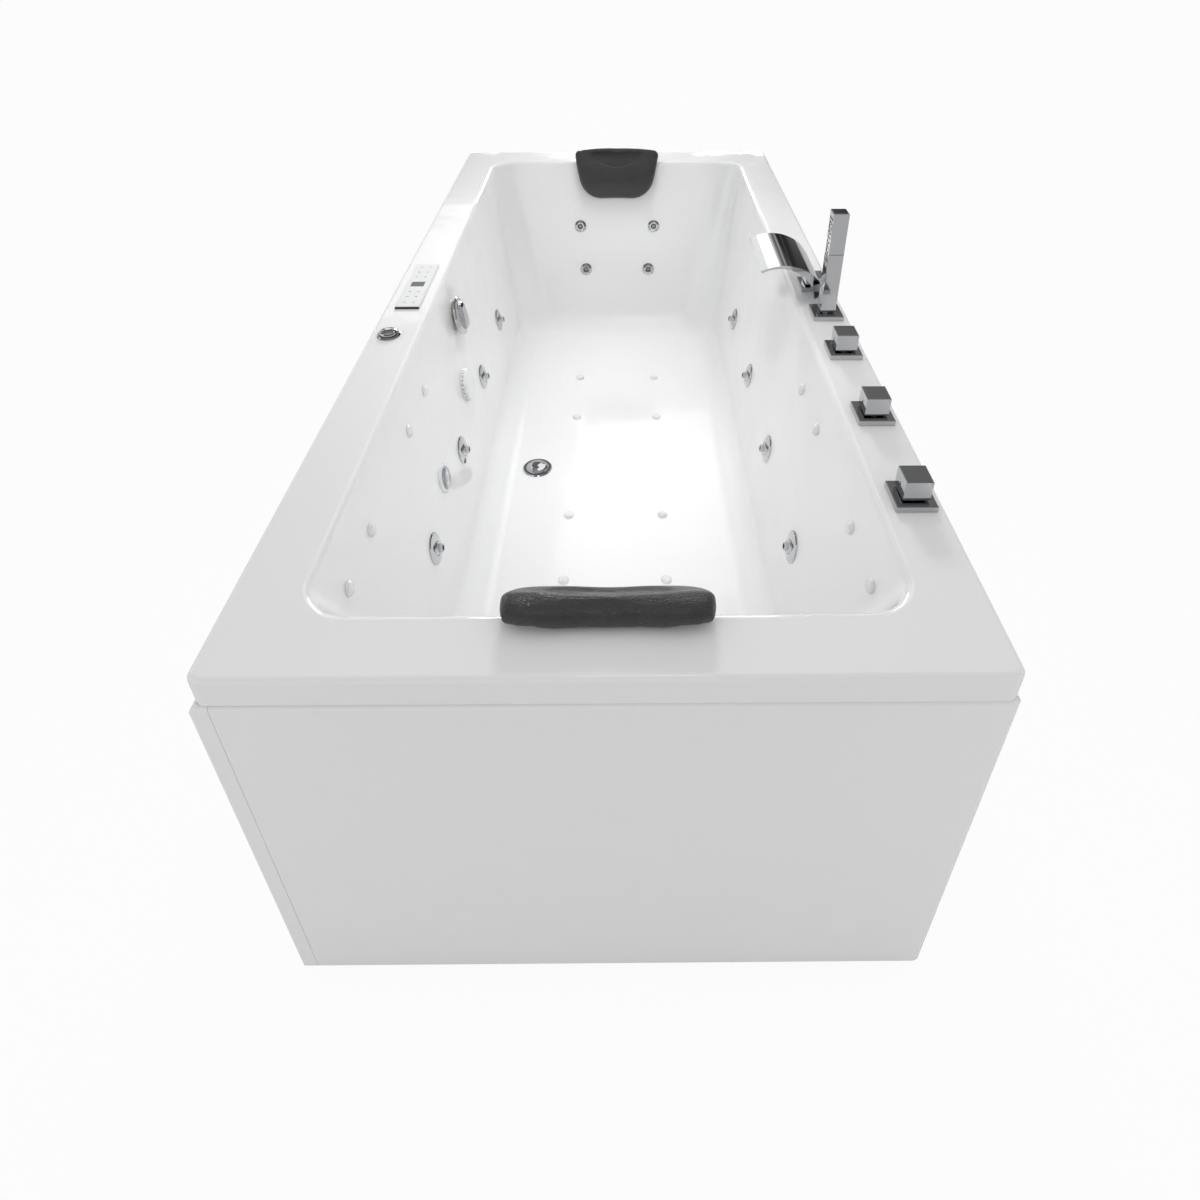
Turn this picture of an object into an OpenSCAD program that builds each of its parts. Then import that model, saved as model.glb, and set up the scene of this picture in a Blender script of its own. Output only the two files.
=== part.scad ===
// Jetted bathtub: acrylic shell, frame, panels, jets, pipework and deck fittings.
// Millimetres, +Z up. The origin is on the floor under the middle of the rim;
// +Y points to the far end, where the back jets are, and +X to the tap deck.

/* [Rim] */
// Overall length of the rim, along Y
tub_len = 1700; // [1500:10:1900]
// Overall width of the rim, along X
tub_wid = 800; // [760:10:1000]
// Height of the rim's top above the floor
rim_z = 580; // [560:5:640]
// Height of the rim's down-turned lip
rim_drop = 36; // [28:1:45]
// Thickness of the rim and of its lip
rim_t = 5; // [4:0.5:7]
// Width of each side rim, outer edge to basin
side_rim = 80; // [74:1:95]
// Width of the near end rim
near_rim = 80; // [55:1:110]
// Width of the far end rim
far_rim = 96; // [55:1:110]
// Radius of the rim's corners seen from above
rim_corner_r = 14; // [10:1:30]
// Radius of the rim's outer top edge
rim_edge_r = 7; // [3:1:9]

/* [Basin] */
// Depth of the basin, rim to floor
basin_d = 404; // [390:1:415]
// How far each side wall leans in from rim to floor
side_run = 72; // [50:1:80]
// How far each end wall leans in from rim to floor
end_run = 161; // [130:1:190]
// Thickness of the walls
shell_t = 5; // [4:0.5:7]
// Thickness of the basin's floor
floor_t = 6; // [4:0.5:8]
// Corner radius of the basin at the rim
corner_top_r = 50; // [30:1:70]
// Corner radius of the basin at the floor
corner_floor_r = 85; // [70:1:110]
// Radius of the fillet between walls and floor
floor_r = 45; // [25:1:55]
// Radius of the rolled edge between rim and wall
edge_r = 8; // [4:1:12]

/* [Panels] */
// Depth of the panels' turned-in edges
panel_edge = 18; // [12:1:22]
// Thickness of the panels' skin
panel_skin = 4; // [3:0.5:6]
// Joint between the rim's lip and the panels
panel_gap = 1; // [0.5:0.5:4]
// Height of the panels' lower edge above the floor
panel_foot = 14; // [10:1:40]
// How far the panels stand out past the rim's outline
panel_out = 2.5; // [1:0.5:5]
// Radius of a panel's rounded corner
panel_r = 11; // [6:1:14]
// Radius of the panels' rounded top edge
panel_top_r = 6; // [2:1:8]

/* [Frame] */
// Side of the frame's square tube
tube_s = 25; // [20:1:25]
// Wall of the frame's square tube
tube_w = 2; // [1.5:0.5:3]
// Height of the side rails' lower face above the floor
rail_z = 104; // [96:1:106]
// Diameter of the levelling feet's threaded rod
foot_rod_d = 12; // [8:1:14]
// Diameter of the feet's pads
foot_pad_d = 45; // [35:1:48]
// Thickness of the board under the basin's floor
board_t = 16; // [12:1:18]

/* [Side jets] */
// Jets on each side wall
side_jets = 4; // [2:1:4]
// Spacing of the side jets
side_jet_pitch = 252; // [230:1:260]
// Middle of the row of side jets along Y
side_jet_mid = -43; // [-60:1:-30]
// Depth of the side jets below the rim
side_jet_depth = 244; // [236:1:250]
// Diameter of the side jets' bezels
side_bezel_d = 51; // [46:1:58]
// Diameter of the side jets' swivel balls
side_ball_d = 27; // [24:1:28]

/* [Back jets] */
// Half spacing of the upper pair of back jets
back_upper_x = 97; // [85:1:105]
// Half spacing of the lower pair of back jets
back_lower_x = 83; // [75:1:95]
// Depth of the upper pair below the rim
back_upper_depth = 153; // [145:1:160]
// Depth of the lower pair below the rim
back_lower_depth = 258; // [250:1:262]
// Diameter of the back jets' bezels
back_bezel_d = 31; // [27:1:36]
// Diameter of the back jets' swivel balls
back_ball_d = 15; // [13:0.5:16]

/* [Air jets] */
// Distance across the floor from the drain to the nearer row of floor air jets
floor_air_in = 73; // [63:1:78]
// Distance of the inner floor air jets from the middle
floor_air_y1 = 165; // [150:1:200]
// Distance of the outer floor air jets from the middle
floor_air_y2 = 334; // [300:1:380]
// Diameter of the air jets' caps
air_cap_d = 19; // [16:1:22]
// Depth of the wall air jets below the rim
wall_air_depth = 70; // [66:1:76]

/* [Pipes] */
// Diameter of the side water pipes
water_d = 32; // [25:1:32]
// Diameter of the suction pipe
suction_d = 38; // [32:1:38]
// Diameter of the overflow and its pipe
overflow_d = 32; // [25:1:32]
// Diameter of the waste outlet
waste_d = 40; // [32:1:40]
// Diameter of the air tubes
air_d = 16; // [12:1:16]
// Diameter of the thin air lines to the water jets
venturi_d = 12; // [8:1:12]

/* [Waste and overflow] */
// Distance of the drain's middle from the foot of the left wall
drain_in = 85; // [82:1:98]
// Drain's place along the floor
drain_y = -19; // [-24:1:-10]
// Diameter of the drain's flange
drain_d = 60; // [54:1:70]
// Diameter of the pop-up plug
plug_d = 46; // [40:1:48]
// Overflow's place along the left wall
overflow_y = 27; // [24:1:32]
// Overflow's depth below the rim
overflow_depth = 74; // [70:1:82]
// Diameter of the overflow's turning knob
overflow_knob_d = 73; // [60:1:84]

/* [Wall fittings] */
// Suction cover's place along the left wall
suction_y = -38; // [-45:1:-34]
// Suction cover's depth below the rim
suction_depth = 187; // [180:1:190]
// Diameter of the suction cover
suction_cover_d = 63; // [58:1:70]
// Light's place along the left wall
light_y = -293; // [-302:1:-280]
// Light's depth below the rim
light_depth = 208; // [200:1:214]
// Diameter of the light's bezel
light_d = 50; // [44:1:56]

/* [Deck] */
// Side of the square escutcheons at their foot
plate_w = 50; // [44:1:54]
// Height of the escutcheons
plate_h = 8.5; // [6:0.5:12]
// Side of the handles' cubes
cube_w = 33; // [28:1:36]
// Height of the handles' cubes
cube_h = 28; // [18:1:32]
// Gap between an escutcheon and the cube or bar over it
cube_gap = 2.2; // [1:0.2:5]
// Place of the cold handle along the deck
deck_start = -594; // [-600:1:-560]
// Spacing of the three handles
deck_pitch = 177; // [165:1:180]
// Hand shower's place along the deck
shower_y = -112; // [-120:1:-90]
// Side of the hand shower's square bar
shower_w = 25; // [20:1:28]
// Height of the hand shower's top above the rim
shower_h = 185; // [150:1:220]
// Spout's place along the deck
spout_y = 0; // [-5:1:10]
// Radius of the spout's arch over its top
spout_r = 82; // [75:1:90]
// Width of the spout
spout_w = 150; // [110:1:156]
// Thickness of the spout at its root
spout_root_t = 20; // [14:1:24]
// Thickness of the spout at its mouth
spout_tip_t = 4; // [3.5:0.5:6]
// Length of the touch control panel, along Y
keypad_l = 180; // [150:1:190]
// Width of the touch control panel
keypad_w = 43; // [36:1:46]
// Thickness of the touch control panel
keypad_h = 5.5; // [4:0.5:8]
// Middle of the touch control panel along Y
keypad_y = 3; // [-5:1:15]
// Air-control knob's place along the left rim
air_knob_y = -181; // [-186:1:-160]
// Diameter of the air-control knob's ring
air_knob_d = 38; // [32:1:44]

/* [Headrests] */
// Width of a headrest at its top
rest_top_w = 234; // [200:1:260]
// Width of a headrest at its bottom
rest_bottom_w = 172; // [150:1:190]
// Length of a headrest down the wall from the rim
rest_down = 94; // [80:1:110]
// Height of a headrest above the rim, along the wall's slope
rest_up = 28; // [20:1:36]
// Thickness of a headrest at its crown
rest_t = 40; // [34:1:50]

/* [Equipment] */
// Diameter of the pump's motor
motor_d = 120; // [100:1:126]
// Length of the pump's motor
motor_l = 215; // [180:1:240]
// Diameter of the pump's wet end
wet_d = 128; // [110:1:134]
// Length of the pump's wet end
wet_l = 95; // [80:1:110]
// Diameter of the air blower
blower_d = 124; // [100:1:130]
// Height of the air blower
blower_h = 112; // [90:1:118]

/* [Hidden] */
$fn = 48;
// Seats: bead of sealant under a flange, slip fit of a pipe or neck, and running fit of a shaft
bead = 0.2;
slip = 0.1;
run = 0.06;
// Space between a swivel ball and its socket
ball_gap = 0.3;
// Overshoot of a cutter past the face it opens
over = 1;

// Basin: half widths and ends at a height z
floor_z = rim_z - basin_d;
board_z = floor_z - floor_t - board_t;
in_half = tub_wid / 2 - side_rim;
floor_half = in_half - side_run;
drain_x = drain_in - floor_half;
floor_air_x = -drain_x - floor_air_in;
near_top_y = near_rim - tub_len / 2;
far_top_y = tub_len / 2 - far_rim;
side_lean = atan((in_half - floor_half) / basin_d);
end_lean = atan(end_run / basin_d);
side_skin = shell_t * cos(side_lean);
end_skin = shell_t * cos(end_lean);
function rise(z) = (z - floor_z) / basin_d;
function half_x(z) = floor_half + (in_half - floor_half) * rise(z);
function far_y(z) = far_top_y - end_run * (1 - rise(z));
function near_y(z) = near_top_y + end_run * (1 - rise(z));
function corner_r(z) = corner_floor_r + (corner_top_r - corner_floor_r) * rise(z);

// A rounded rectangle of points at height z, anticlockwise, with steps points a corner
corner_steps = 9;
ring_n = 4 * (corner_steps + 1);
function ring(hx, y0, y1, r, z) = [for (c = [0:3]) for (i = [0:corner_steps])
    let (a = 90 * c + 90 * i / corner_steps,
         cx = (c == 0 || c == 3) ? hx - r : r - hx,
         cy = (c < 2) ? y1 - r : y0 + r)
    [cx + r * cos(a), cy + r * sin(a), z]];
// Ring of the basin's wall at height z, moved in by d and out by the thickness t
function wall_ring(z, d, t) = ring(half_x(z) + t - d, near_y(z) - t + d, far_y(z) + t - d,
                                   corner_r(z) + t - d, z);
// Ring of the rim's outline at height z, moved in by d
function rim_ring(z, d) = ring(tub_wid / 2 - d, d - tub_len / 2, tub_len / 2 - d,
                               rim_corner_r - d, z);
// Triangles between rings of n points each; caps close the first and the last ring
function loft_faces(m, n) = concat(
    [for (i = [0:m - 2]) for (j = [0:n - 1])
        let (k = (j + 1) % n) for (f = [0, 1])
        f == 0 ? [i * n + j, i * n + k, (i + 1) * n + k]
               : [i * n + j, (i + 1) * n + k, (i + 1) * n + j]],
    [[for (j = [n - 1:-1:0]) j]], [[for (j = [0:n - 1]) (m - 1) * n + j]]);
module loft(rings) {
    n = len(rings[0]);
    polyhedron([for (r = rings) for (p = r) p], loft_faces(len(rings), n), convexity = 8);
}

// Places children on a side wall (1 right, -1 left): +Z points into the basin
module at_side(side, y, depth) {
    z = rim_z - depth;
    translate([side * half_x(z), y, z]) rotate([0, -side * (90 - side_lean), 0]) children();
}
// Places children on the far wall: +Z points into the basin, +Y up the wall
module at_far(x, depth) {
    z = rim_z - depth;
    translate([x, far_y(z), z]) rotate([90 - end_lean, 0, 0]) children();
}
// Places children on the near wall, as at_far mirrored
module at_near(x, depth) {
    z = rim_z - depth;
    translate([x, near_y(z), z]) mirror([0, 1, 0]) rotate([90 - end_lean, 0, 0]) children();
}
// World place of a point on a side wall's frame: up the wall by u, out of the basin by w
function side_point(side, y, depth, u, w) = let (z = rim_z - depth)
    [side * (half_x(z) + u * sin(side_lean) + w * cos(side_lean)), y,
     z + u * cos(side_lean) - w * sin(side_lean)];
function far_point(x, depth, w) = let (z = rim_z - depth)
    [x, far_y(z) + w * cos(end_lean), z - w * sin(end_lean)];

// Basic shapes
module disc(r, z0, z1) translate([0, 0, z0]) cylinder(r = r, h = z1 - z0);
module along_y(r, y0, y1) translate([0, y0, 0]) rotate([-90, 0, 0]) cylinder(r = r, h = y1 - y0);
module along_x(r, x0, x1) translate([x0, 0, 0]) rotate([0, 90, 0]) cylinder(r = r, h = x1 - x0);
module block(a, b) translate(a) cube(b - a);
// Straight pipe between two points
module pipe(a, b, d) {
    v = b - a;
    l = norm(v);
    translate(a) rotate([0, acos(v[2] / l), atan2(v[1], v[0])]) cylinder(d = d, h = l);
}
// Pipe through a list of points, with a moulded elbow at every corner
elbow_t = 2.5;
function unit(v) = v / norm(v);
module elbow(p, u, v, d) {
    w = unit(cross(u, v)) * (d / 2 + elbow_t);
    pipe(p - w, p + w, d + 2 * elbow_t);
}
module pipe_run(points, d) {
    n = len(points);
    for (i = [0:n - 2]) pipe(points[i], points[i + 1], d);
    for (i = [1:n - 2]) elbow(points[i], points[i] - points[i - 1], points[i + 1] - points[i], d);
}

// Places of the fittings
side_jet_ys = [for (i = [0:side_jets - 1]) side_jet_mid + side_jet_pitch * ((side_jets - 1) / 2 - i)];
back_jets = [[-back_upper_x, back_upper_depth], [back_upper_x, back_upper_depth],
             [-back_lower_x, back_lower_depth], [back_lower_x, back_lower_depth]];
floor_air_ys = [-floor_air_y2, -floor_air_y1, floor_air_y1, floor_air_y2];
wall_air_ys = [for (d = [102, 202, 418, 530]) near_top_y + d];
deck_x = in_half + 43;
deck_ys = [for (i = [0:2]) deck_start + i * deck_pitch];
keypad_x = -in_half - 39;
air_knob_x = -in_half - 48;
rest_stud_x = 60;
rest_stud_depth = 42;

// Tub shell: basin, flat rim and lip in one moulding
fillet_steps = 6;
edge_steps = 4;
deck_hole_d = 28;
side_neck_r = 18;
back_neck_r = 10.5;
light_neck_r = 19;
suction_neck_r = 22;
overflow_neck_r = 22;
drain_neck_r = 25.5;
air_stem_r = 6;
stud_r = 3;
function basin_rings(r, zf, t) = [for (i = [0:fillet_steps])
    let (a = 90 - 90 * i / fillet_steps, z = zf + r * (1 - sin(a)))
    wall_ring(z, r * (1 - cos(a)), t)];
module tub_shell() {
    inner = basin_rings(floor_r, floor_z, 0);
    roll = [for (i = [0:edge_steps]) let (a = 90 * i / edge_steps)
        wall_ring(rim_z - edge_r * (1 - sin(a)), -edge_r * (1 - cos(a)), 0)];
    outer_edge = [for (i = [0:edge_steps]) let (a = 90 - 90 * i / edge_steps)
        rim_ring(rim_z - rim_edge_r * (1 - sin(a)), rim_edge_r * (1 - cos(a)))];
    lip = [rim_ring(rim_z - rim_drop, 0), rim_ring(rim_z - rim_drop, rim_t),
           rim_ring(rim_z - rim_t, rim_t), wall_ring(rim_z - rim_t, 0, shell_t)];
    below = basin_rings(floor_r + shell_t, floor_z - floor_t, shell_t);
    outer = [for (i = [fillet_steps:-1:0]) below[i]];
    color("white") difference() {
        loft(concat(inner, roll, outer_edge, lip, outer));
        for (s = [-1, 1], y = side_jet_ys)
            at_side(s, y, side_jet_depth) disc(side_neck_r + over, -4 * shell_t, 2 * over);
        for (j = back_jets)
            at_far(j[0], j[1]) disc(back_neck_r + over, -4 * shell_t, 2 * over);
        for (s = [-1, 1], y = wall_air_ys)
            at_side(s, y, wall_air_depth) disc(air_stem_r + slip, -4 * shell_t, 2 * over);
        for (x = [-floor_air_x, floor_air_x], y = floor_air_ys)
            translate([x, y, floor_z]) disc(air_stem_r + slip, -2 * floor_t, over);
        at_side(-1, suction_y, suction_depth) disc(suction_neck_r + over, -4 * shell_t, 2 * over);
        at_side(-1, light_y, light_depth) disc(light_neck_r + over, -4 * shell_t, 2 * over);
        at_side(-1, overflow_y, overflow_depth)
            disc(overflow_neck_r + over, -4 * shell_t, 2 * over);
        translate([drain_x, drain_y, floor_z]) disc(drain_neck_r + over, -2 * floor_t, over);
        for (y = concat(deck_ys, [shower_y, spout_y]))
            translate([deck_x, y, rim_z]) disc(deck_hole_d / 2, -2 * rim_t, over);
        translate([air_knob_x, air_knob_y, rim_z]) disc(deck_hole_d / 2, -2 * rim_t, over);
        translate([keypad_x, keypad_y, rim_z]) disc(stud_r * 2, -2 * rim_t, over);
        for (x = [-rest_stud_x, rest_stud_x]) {
            at_far(x, rest_stud_depth) disc(stud_r + slip, -4 * shell_t, 2 * over);
            at_near(x, rest_stud_depth) disc(stud_r + slip, -4 * shell_t, 2 * over);
        }
    }
}

// Board under the floor, with room round every fitting that comes through
board_half = floor_half - floor_r - 3;
board_near_y = near_top_y + end_run + floor_r + 5;
board_far_y = far_top_y - end_run - floor_r - 18;
waste_clear_r = 38;
module base_board() {
    color("burlywood") difference() {
        block([-board_half, board_near_y, board_z], [board_half, board_far_y, floor_z - floor_t]);
        for (x = [-floor_air_x, floor_air_x], y = floor_air_ys)
            translate([x, y, board_z]) disc(air_cap_d, -over, board_t + over);
        translate([drain_x, drain_y, board_z]) disc(waste_clear_r, -over, board_t + over);
        block([-board_half - over, drain_y - overflow_d / 2 - 8, board_z - over],
              [drain_x, overflow_y + overflow_d, board_z + board_t + over]);
    }
}

// Frame of square tube: side rails, cross rails, posts
frame_x = tub_wid / 2 + panel_out - panel_edge - 9.5 - tube_s / 2;
end_y = tub_len / 2 + panel_out - panel_edge - 5 - tube_s / 2;
rail_top = rail_z + tube_s;
cross_top = rail_top + tube_s;
shelf_t = 3;
shelf_half = frame_x - 112.5;
shelf_near_y = near_top_y + end_run - 31;
shelf_far_y = far_top_y - end_run + 22;
cross_ys = [shelf_near_y + 95, -(floor_air_y1 + floor_air_y2) / 2, floor_air_y1 - 80, shelf_far_y - 115];
module square_tube(l) {
    difference() {
        block([-tube_s / 2, 0, 0], [tube_s / 2, l, tube_s]);
        block([tube_w - tube_s / 2, -over, tube_w], [tube_s / 2 - tube_w, l + over, tube_s - tube_w]);
    }
}
foot_ys = [117 - end_y, 0, end_y - 117];
mid_post_y = 160;
module frame_side_rails() {
    color("silver") difference() {
        for (s = [-1, 1]) translate([s * frame_x, -end_y - tube_s / 2, rail_z])
            square_tube(2 * end_y + tube_s);
        for (s = [-1, 1], y = foot_ys)
            translate([s * frame_x, y, rail_z]) disc(foot_rod_d / 2 + slip, -over, tube_w + over);
    }
}
module cross_tube(y, z, half) {
    translate([-half, y, z]) rotate([0, 0, -90]) square_tube(2 * half);
}
module shelf(y0, y1)
    block([-shelf_half, min(y0, y1), rail_top], [shelf_half, max(y0, y1), rail_top + shelf_t]);
// Control box on the near shelf, and its cable gland through the shelf
box_size = [140, 106, 50];
box_at = [shelf_half - 10 - box_size[0], 17 - end_y];
gland_at = [box_at[0] + box_size[0] / 2, box_at[1] + box_size[1] / 2];
gland_r = 8;
gland_bore = 5;
gland_bore_l = 20;
gland_l = 24;
module frame_cross_rails() {
    inner = frame_x - tube_s / 2;
    color("silver") {
        for (y = cross_ys) cross_tube(y, rail_top, frame_x + tube_s / 2);
        for (y = [-end_y, shelf_near_y, shelf_far_y, end_y]) cross_tube(y, rail_z, inner);
        difference() {
            shelf(-end_y - tube_s / 2, shelf_near_y + tube_s / 2);
            translate([gland_at[0], gland_at[1], rail_top]) disc(gland_r + slip, -over, shelf_t + over);
        }
        shelf(shelf_far_y - tube_s / 2, end_y + tube_s / 2);
    }
}
post_top = rim_z - rim_t - bead;
module frame_posts() {
    color("silver") for (s = [-1, 1], y = [-end_y, mid_post_y, end_y])
        translate([s * frame_x, y, rail_top]) linear_extrude(post_top - rail_top) difference() {
            square(tube_s, center = true);
            square(tube_s - 2 * tube_w, center = true);
        }
}

// Levelling feet: moulded pad on a threaded rod, and a locknut under the rail
pad_h = 10;
nut_h = 8;
module levelling_feet() {
    for (s = [-1, 1], y = foot_ys) translate([s * frame_x, y, 0]) {
        color("dimgray") {
            rotate_extrude() polygon([[0, 0], [foot_pad_d / 2, 0], [foot_pad_d / 2, 4],
                [foot_rod_d, pad_h], [0, pad_h]]);
            disc(foot_rod_d / 2, pad_h - over, rail_top - 2 * tube_w);
        }
        color("silver") difference() {
            translate([0, 0, rail_z - nut_h]) cylinder(r = foot_rod_d * 0.92, h = nut_h, $fn = 6);
            disc(foot_rod_d / 2 + run, rail_z - nut_h - over, rail_z + over);
        }
    }
}

// Panels: acrylic trays with turned-in edges; each has one square and one rounded end
panel_top = rim_z - rim_drop - panel_gap;
panel_hx = tub_wid / 2 + panel_out;
panel_hy = tub_len / 2 + panel_out;
joint_gap = 0.5;
// Side view of a panel whose outer face is at 0 and whose top edge is rounded there
module top_profile(depth) {
    rise = panel_top - panel_foot;
    square([depth, rise - panel_top_r]);
    translate([panel_top_r, 0]) square([depth - panel_top_r, rise]);
    translate([panel_top_r, rise - panel_top_r]) circle(panel_top_r);
}
// A tray from x0 to x1 whose outer face is at y 0, with its corner at x1 rounded by r
module tray(x0, x1, r) {
    difference() {
        intersection() {
            translate([0, 0, panel_foot]) linear_extrude(panel_top - panel_foot) {
                translate([x0, 0]) square([x1 - r - x0, panel_edge]);
                if (r > 0) {
                    translate([x1 - r, r]) square([r, panel_edge - r]);
                    intersection() {
                        translate([x1 - r, r]) circle(r);
                        translate([x1 - r, 0]) square(r);
                    }
                }
            }
            translate([x0 - over, 0, panel_foot]) rotate([90, 0, 90])
                linear_extrude(x1 - x0 + 2 * over) top_profile(panel_edge + over);
            translate([x1, panel_edge + over, panel_foot]) rotate([90, 0, 0])
                linear_extrude(panel_edge + 2 * over) mirror([1, 0]) top_profile(x1 - x0 + over);
        }
        block([x0 + panel_skin, panel_skin, panel_foot + panel_skin],
              [x1 - max(r, panel_skin), panel_edge + over, panel_top - panel_skin]);
    }
}
module end_panel() translate([0, -panel_hy, 0]) tray(panel_edge + joint_gap - panel_hx, panel_hx, panel_r);
module long_panel() translate([0, -panel_hx, 0]) tray(panel_edge + joint_gap - panel_hy, panel_hy, 0);
module panel_near() color("white") end_panel();
module panel_far() color("white") rotate([0, 0, 180]) end_panel();
module panel_left() color("white") rotate([0, 0, -90]) long_panel();
module panel_right() color("white") rotate([0, 0, 90]) long_panel();
// Catches that hold the panels off the posts and end rails
catch_w = 20;
catch_h = 30;
catch_y = 6;
module panel_catches() {
    color("gray") {
        for (s = [-1, 1], y = [catch_y - end_y, mid_post_y, end_y - catch_y],
             z = [rail_top + 40, panel_top - 70])
            translate([s * frame_x, y, z]) mirror([s < 0 ? 1 : 0, 0, 0])
            block([tube_s / 2, -catch_w / 2, 0],
                  [panel_hx - panel_skin - bead - frame_x, catch_w / 2, catch_h]);
        for (s = [-1, 1], x = [-230, 230])
            translate([x, s * end_y, rail_z]) mirror([0, s < 0 ? 1 : 0, 0])
            block([-catch_w / 2, tube_s / 2, 0],
                  [catch_w / 2, panel_hy - panel_skin - bead - end_y, tube_s]);
    }
}

// Headrests: one soft crescent-shaped pillow at each end
rest_cols = 28;
rest_rows = 19;
rest_hollow = 6;
rest_gap = 0.3;
rest_lip = 15;
rest_bow = 8;
rest_low_r = 42;
rest_high_r = 13;
function smooth(t) = let (c = min(max(t, 0), 1)) c * c * (3 - 2 * c);
function spow(v, e) = sign(v) * pow(abs(v), e);
function turn_in(q) = q <= 0 ? 0 : 1 - sqrt(1 - min(q, 1) * min(q, 1));
// One level of the pillow: u runs across, the last value out of the wall, v up the wall
function rest_ring(i) = let (
    t = (1 - cos(180 * i / (rest_rows - 1))) / 2,
    v = -rest_down + (rest_down + rest_up) * t,
    low = turn_in((0.34 - t) / 0.34),
    high = turn_in((t - 0.86) / 0.14),
    half = (rest_bottom_w + (rest_top_w - rest_bottom_w) * pow(t, 0.8)) / 2,
    w = half - rest_low_r * low - rest_high_r * high,
    thick = rest_t * (0.6 + 0.4 * smooth(t * 3)) * (1 - 0.45 * smooth(t * 2 - 1)))
    [for (j = [0:rest_cols - 1]) let (
        a = 360 * j / rest_cols,
        u = w * spow(cos(a), 0.45),
        arch = 1 - pow(u / w, 2),
        front = thick - rest_hollow * smooth(t * 2.2 - 0.8) * arch,
        back = -min(max((v - 4) / 0.42, 0), rest_lip + rest_bow * arch),
        middle = (front + back) / 2 * (1 - 0.66 * low),
        half_t = (front - back) / 2 * (1 - 0.72 * low) * (1 - 0.7 * high))
        [u, v, middle + half_t * spow(sin(a), 0.6) + rest_gap]];
module headrest() {
    color([0.15, 0.15, 0.16]) loft([for (i = [0:rest_rows - 1]) rest_ring(i)]);
}
module headrest_far() at_far(0, 0) headrest();
module headrest_near() at_near(0, 0) headrest();
// Push-in studs that hold the headrests
module rest_stud() {
    disc(stud_r, -3 * stud_r, -bead);
    disc(stud_r * 2.4, -bead - 1.2, -bead);
}
module headrest_studs() {
    color("dimgray") for (x = [-rest_stud_x, rest_stud_x]) {
        at_far(x, rest_stud_depth) translate([0, 0, -end_skin]) rest_stud();
        at_near(x, rest_stud_depth) translate([0, 0, -end_skin]) rest_stud();
    }
}

// Jets. Bezel, swivel nozzle and body share one frame: z 0 is the wall's face
bezel_h = 4.5;
ball_z = -4;
nozzle_tip = 4;
module jet_bezel(d, neck_r, ball_d, neck_l) {
    mouth = ball_d / 2 * 0.86;
    socket_r = ball_d / 2 + ball_gap;
    difference() {
        rotate_extrude() polygon([[0, bead], [d / 2, bead], [d / 2, bead + 1.2],
            [d / 2 - 1.5, bead + 2.6], [mouth + 3, bezel_h], [mouth + 1.5, bezel_h], [0, bezel_h - 2]]);
        translate([0, 0, ball_z]) sphere(socket_r);
        disc(mouth, 0, bezel_h + over);
    }
    difference() {
        disc(neck_r, -neck_l, bead);
        translate([0, 0, ball_z]) sphere(socket_r);
        disc(socket_r - 2 * ball_gap, -neck_l - over, ball_z);
        disc(mouth, ball_z, over);
    }
}
module nozzle(ball_d) {
    r = ball_d / 2;
    tube_r = r * 0.5;
    translate([0, 0, ball_z]) difference() {
        union() {
            intersection() {
                sphere(r);
                disc(r, -r * 0.62, r * 0.86);
            }
            disc(tube_r, 0, r + nozzle_tip);
        }
        disc(tube_r * 0.62, -r - over, r + nozzle_tip + over);
        translate([0, 0, -r]) cylinder(r1 = r * 0.8, r2 = tube_r * 0.62, h = r * 0.9);
    }
}
// Body behind the wall: flange, barrel, saddle round the water pipe and eye for the air line
module jet_body(skin, neck_r, neck_l, pipe_w, pipe_d, eye_u, eye_w) {
    wall = 5;
    difference() {
        union() {
            disc(neck_r + 2.6 * wall, -skin - bead - 6, -skin - bead);
            disc(neck_r + wall, -pipe_w, -skin - bead);
            translate([0, 0, -pipe_w]) children(0);
            if (eye_u != 0) translate([0, 0, -eye_w]) {
                pipe([0, 0, 0], [eye_u, 0, 0], venturi_d);
                translate([eye_u, 0, 0]) along_y(venturi_d / 2 + 3, -10, 10);
            }
        }
        disc(neck_r + slip, -neck_l - bead, over);
        translate([0, 0, -pipe_w]) children(1);
        if (eye_u != 0) translate([eye_u, 0, -eye_w]) along_y(venturi_d / 2 + slip, -30, 30);
    }
}
side_neck_l = 19;
side_pipe_w = 42;
back_neck_l = 15;
back_pipe_w = 31;
back_d = 20;
eye_u = -31;
eye_w = 17;
saddle_half = 28;
module side_jet_bezels() {
    color("silver") for (s = [-1, 1], y = side_jet_ys) at_side(s, y, side_jet_depth)
        jet_bezel(side_bezel_d, side_neck_r, side_ball_d, side_neck_l);
}
module side_jet_bodies() {
    color("gainsboro") for (s = [-1, 1], y = side_jet_ys) at_side(s, y, side_jet_depth)
        mirror([s < 0 ? 1 : 0, 0, 0])
        jet_body(side_skin, side_neck_r, side_neck_l, side_pipe_w, water_d, eye_u, eye_w) {
            along_y(water_d / 2 + 4, -saddle_half, saddle_half);
            along_y(water_d / 2 + slip, -saddle_half - over, saddle_half + over);
        }
}
module back_jet_bezels() {
    color("silver") for (j = back_jets) at_far(j[0], j[1])
        jet_bezel(back_bezel_d, back_neck_r, back_ball_d, back_neck_l);
}
module back_jet_bodies() {
    color("gainsboro") for (j = back_jets) at_far(j[0], j[1])
        jet_body(end_skin, back_neck_r, back_neck_l, back_pipe_w, back_d, 0, 0) {
            along_x(back_d / 2 + 3, -20, 20);
            along_x(back_d / 2 + slip, -20 - over, 20 + over);
        }
}
module side_nozzle(s, i) {
    color("gray") if (i < side_jets) at_side(s, side_jet_ys[i], side_jet_depth) nozzle(side_ball_d);
}
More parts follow.
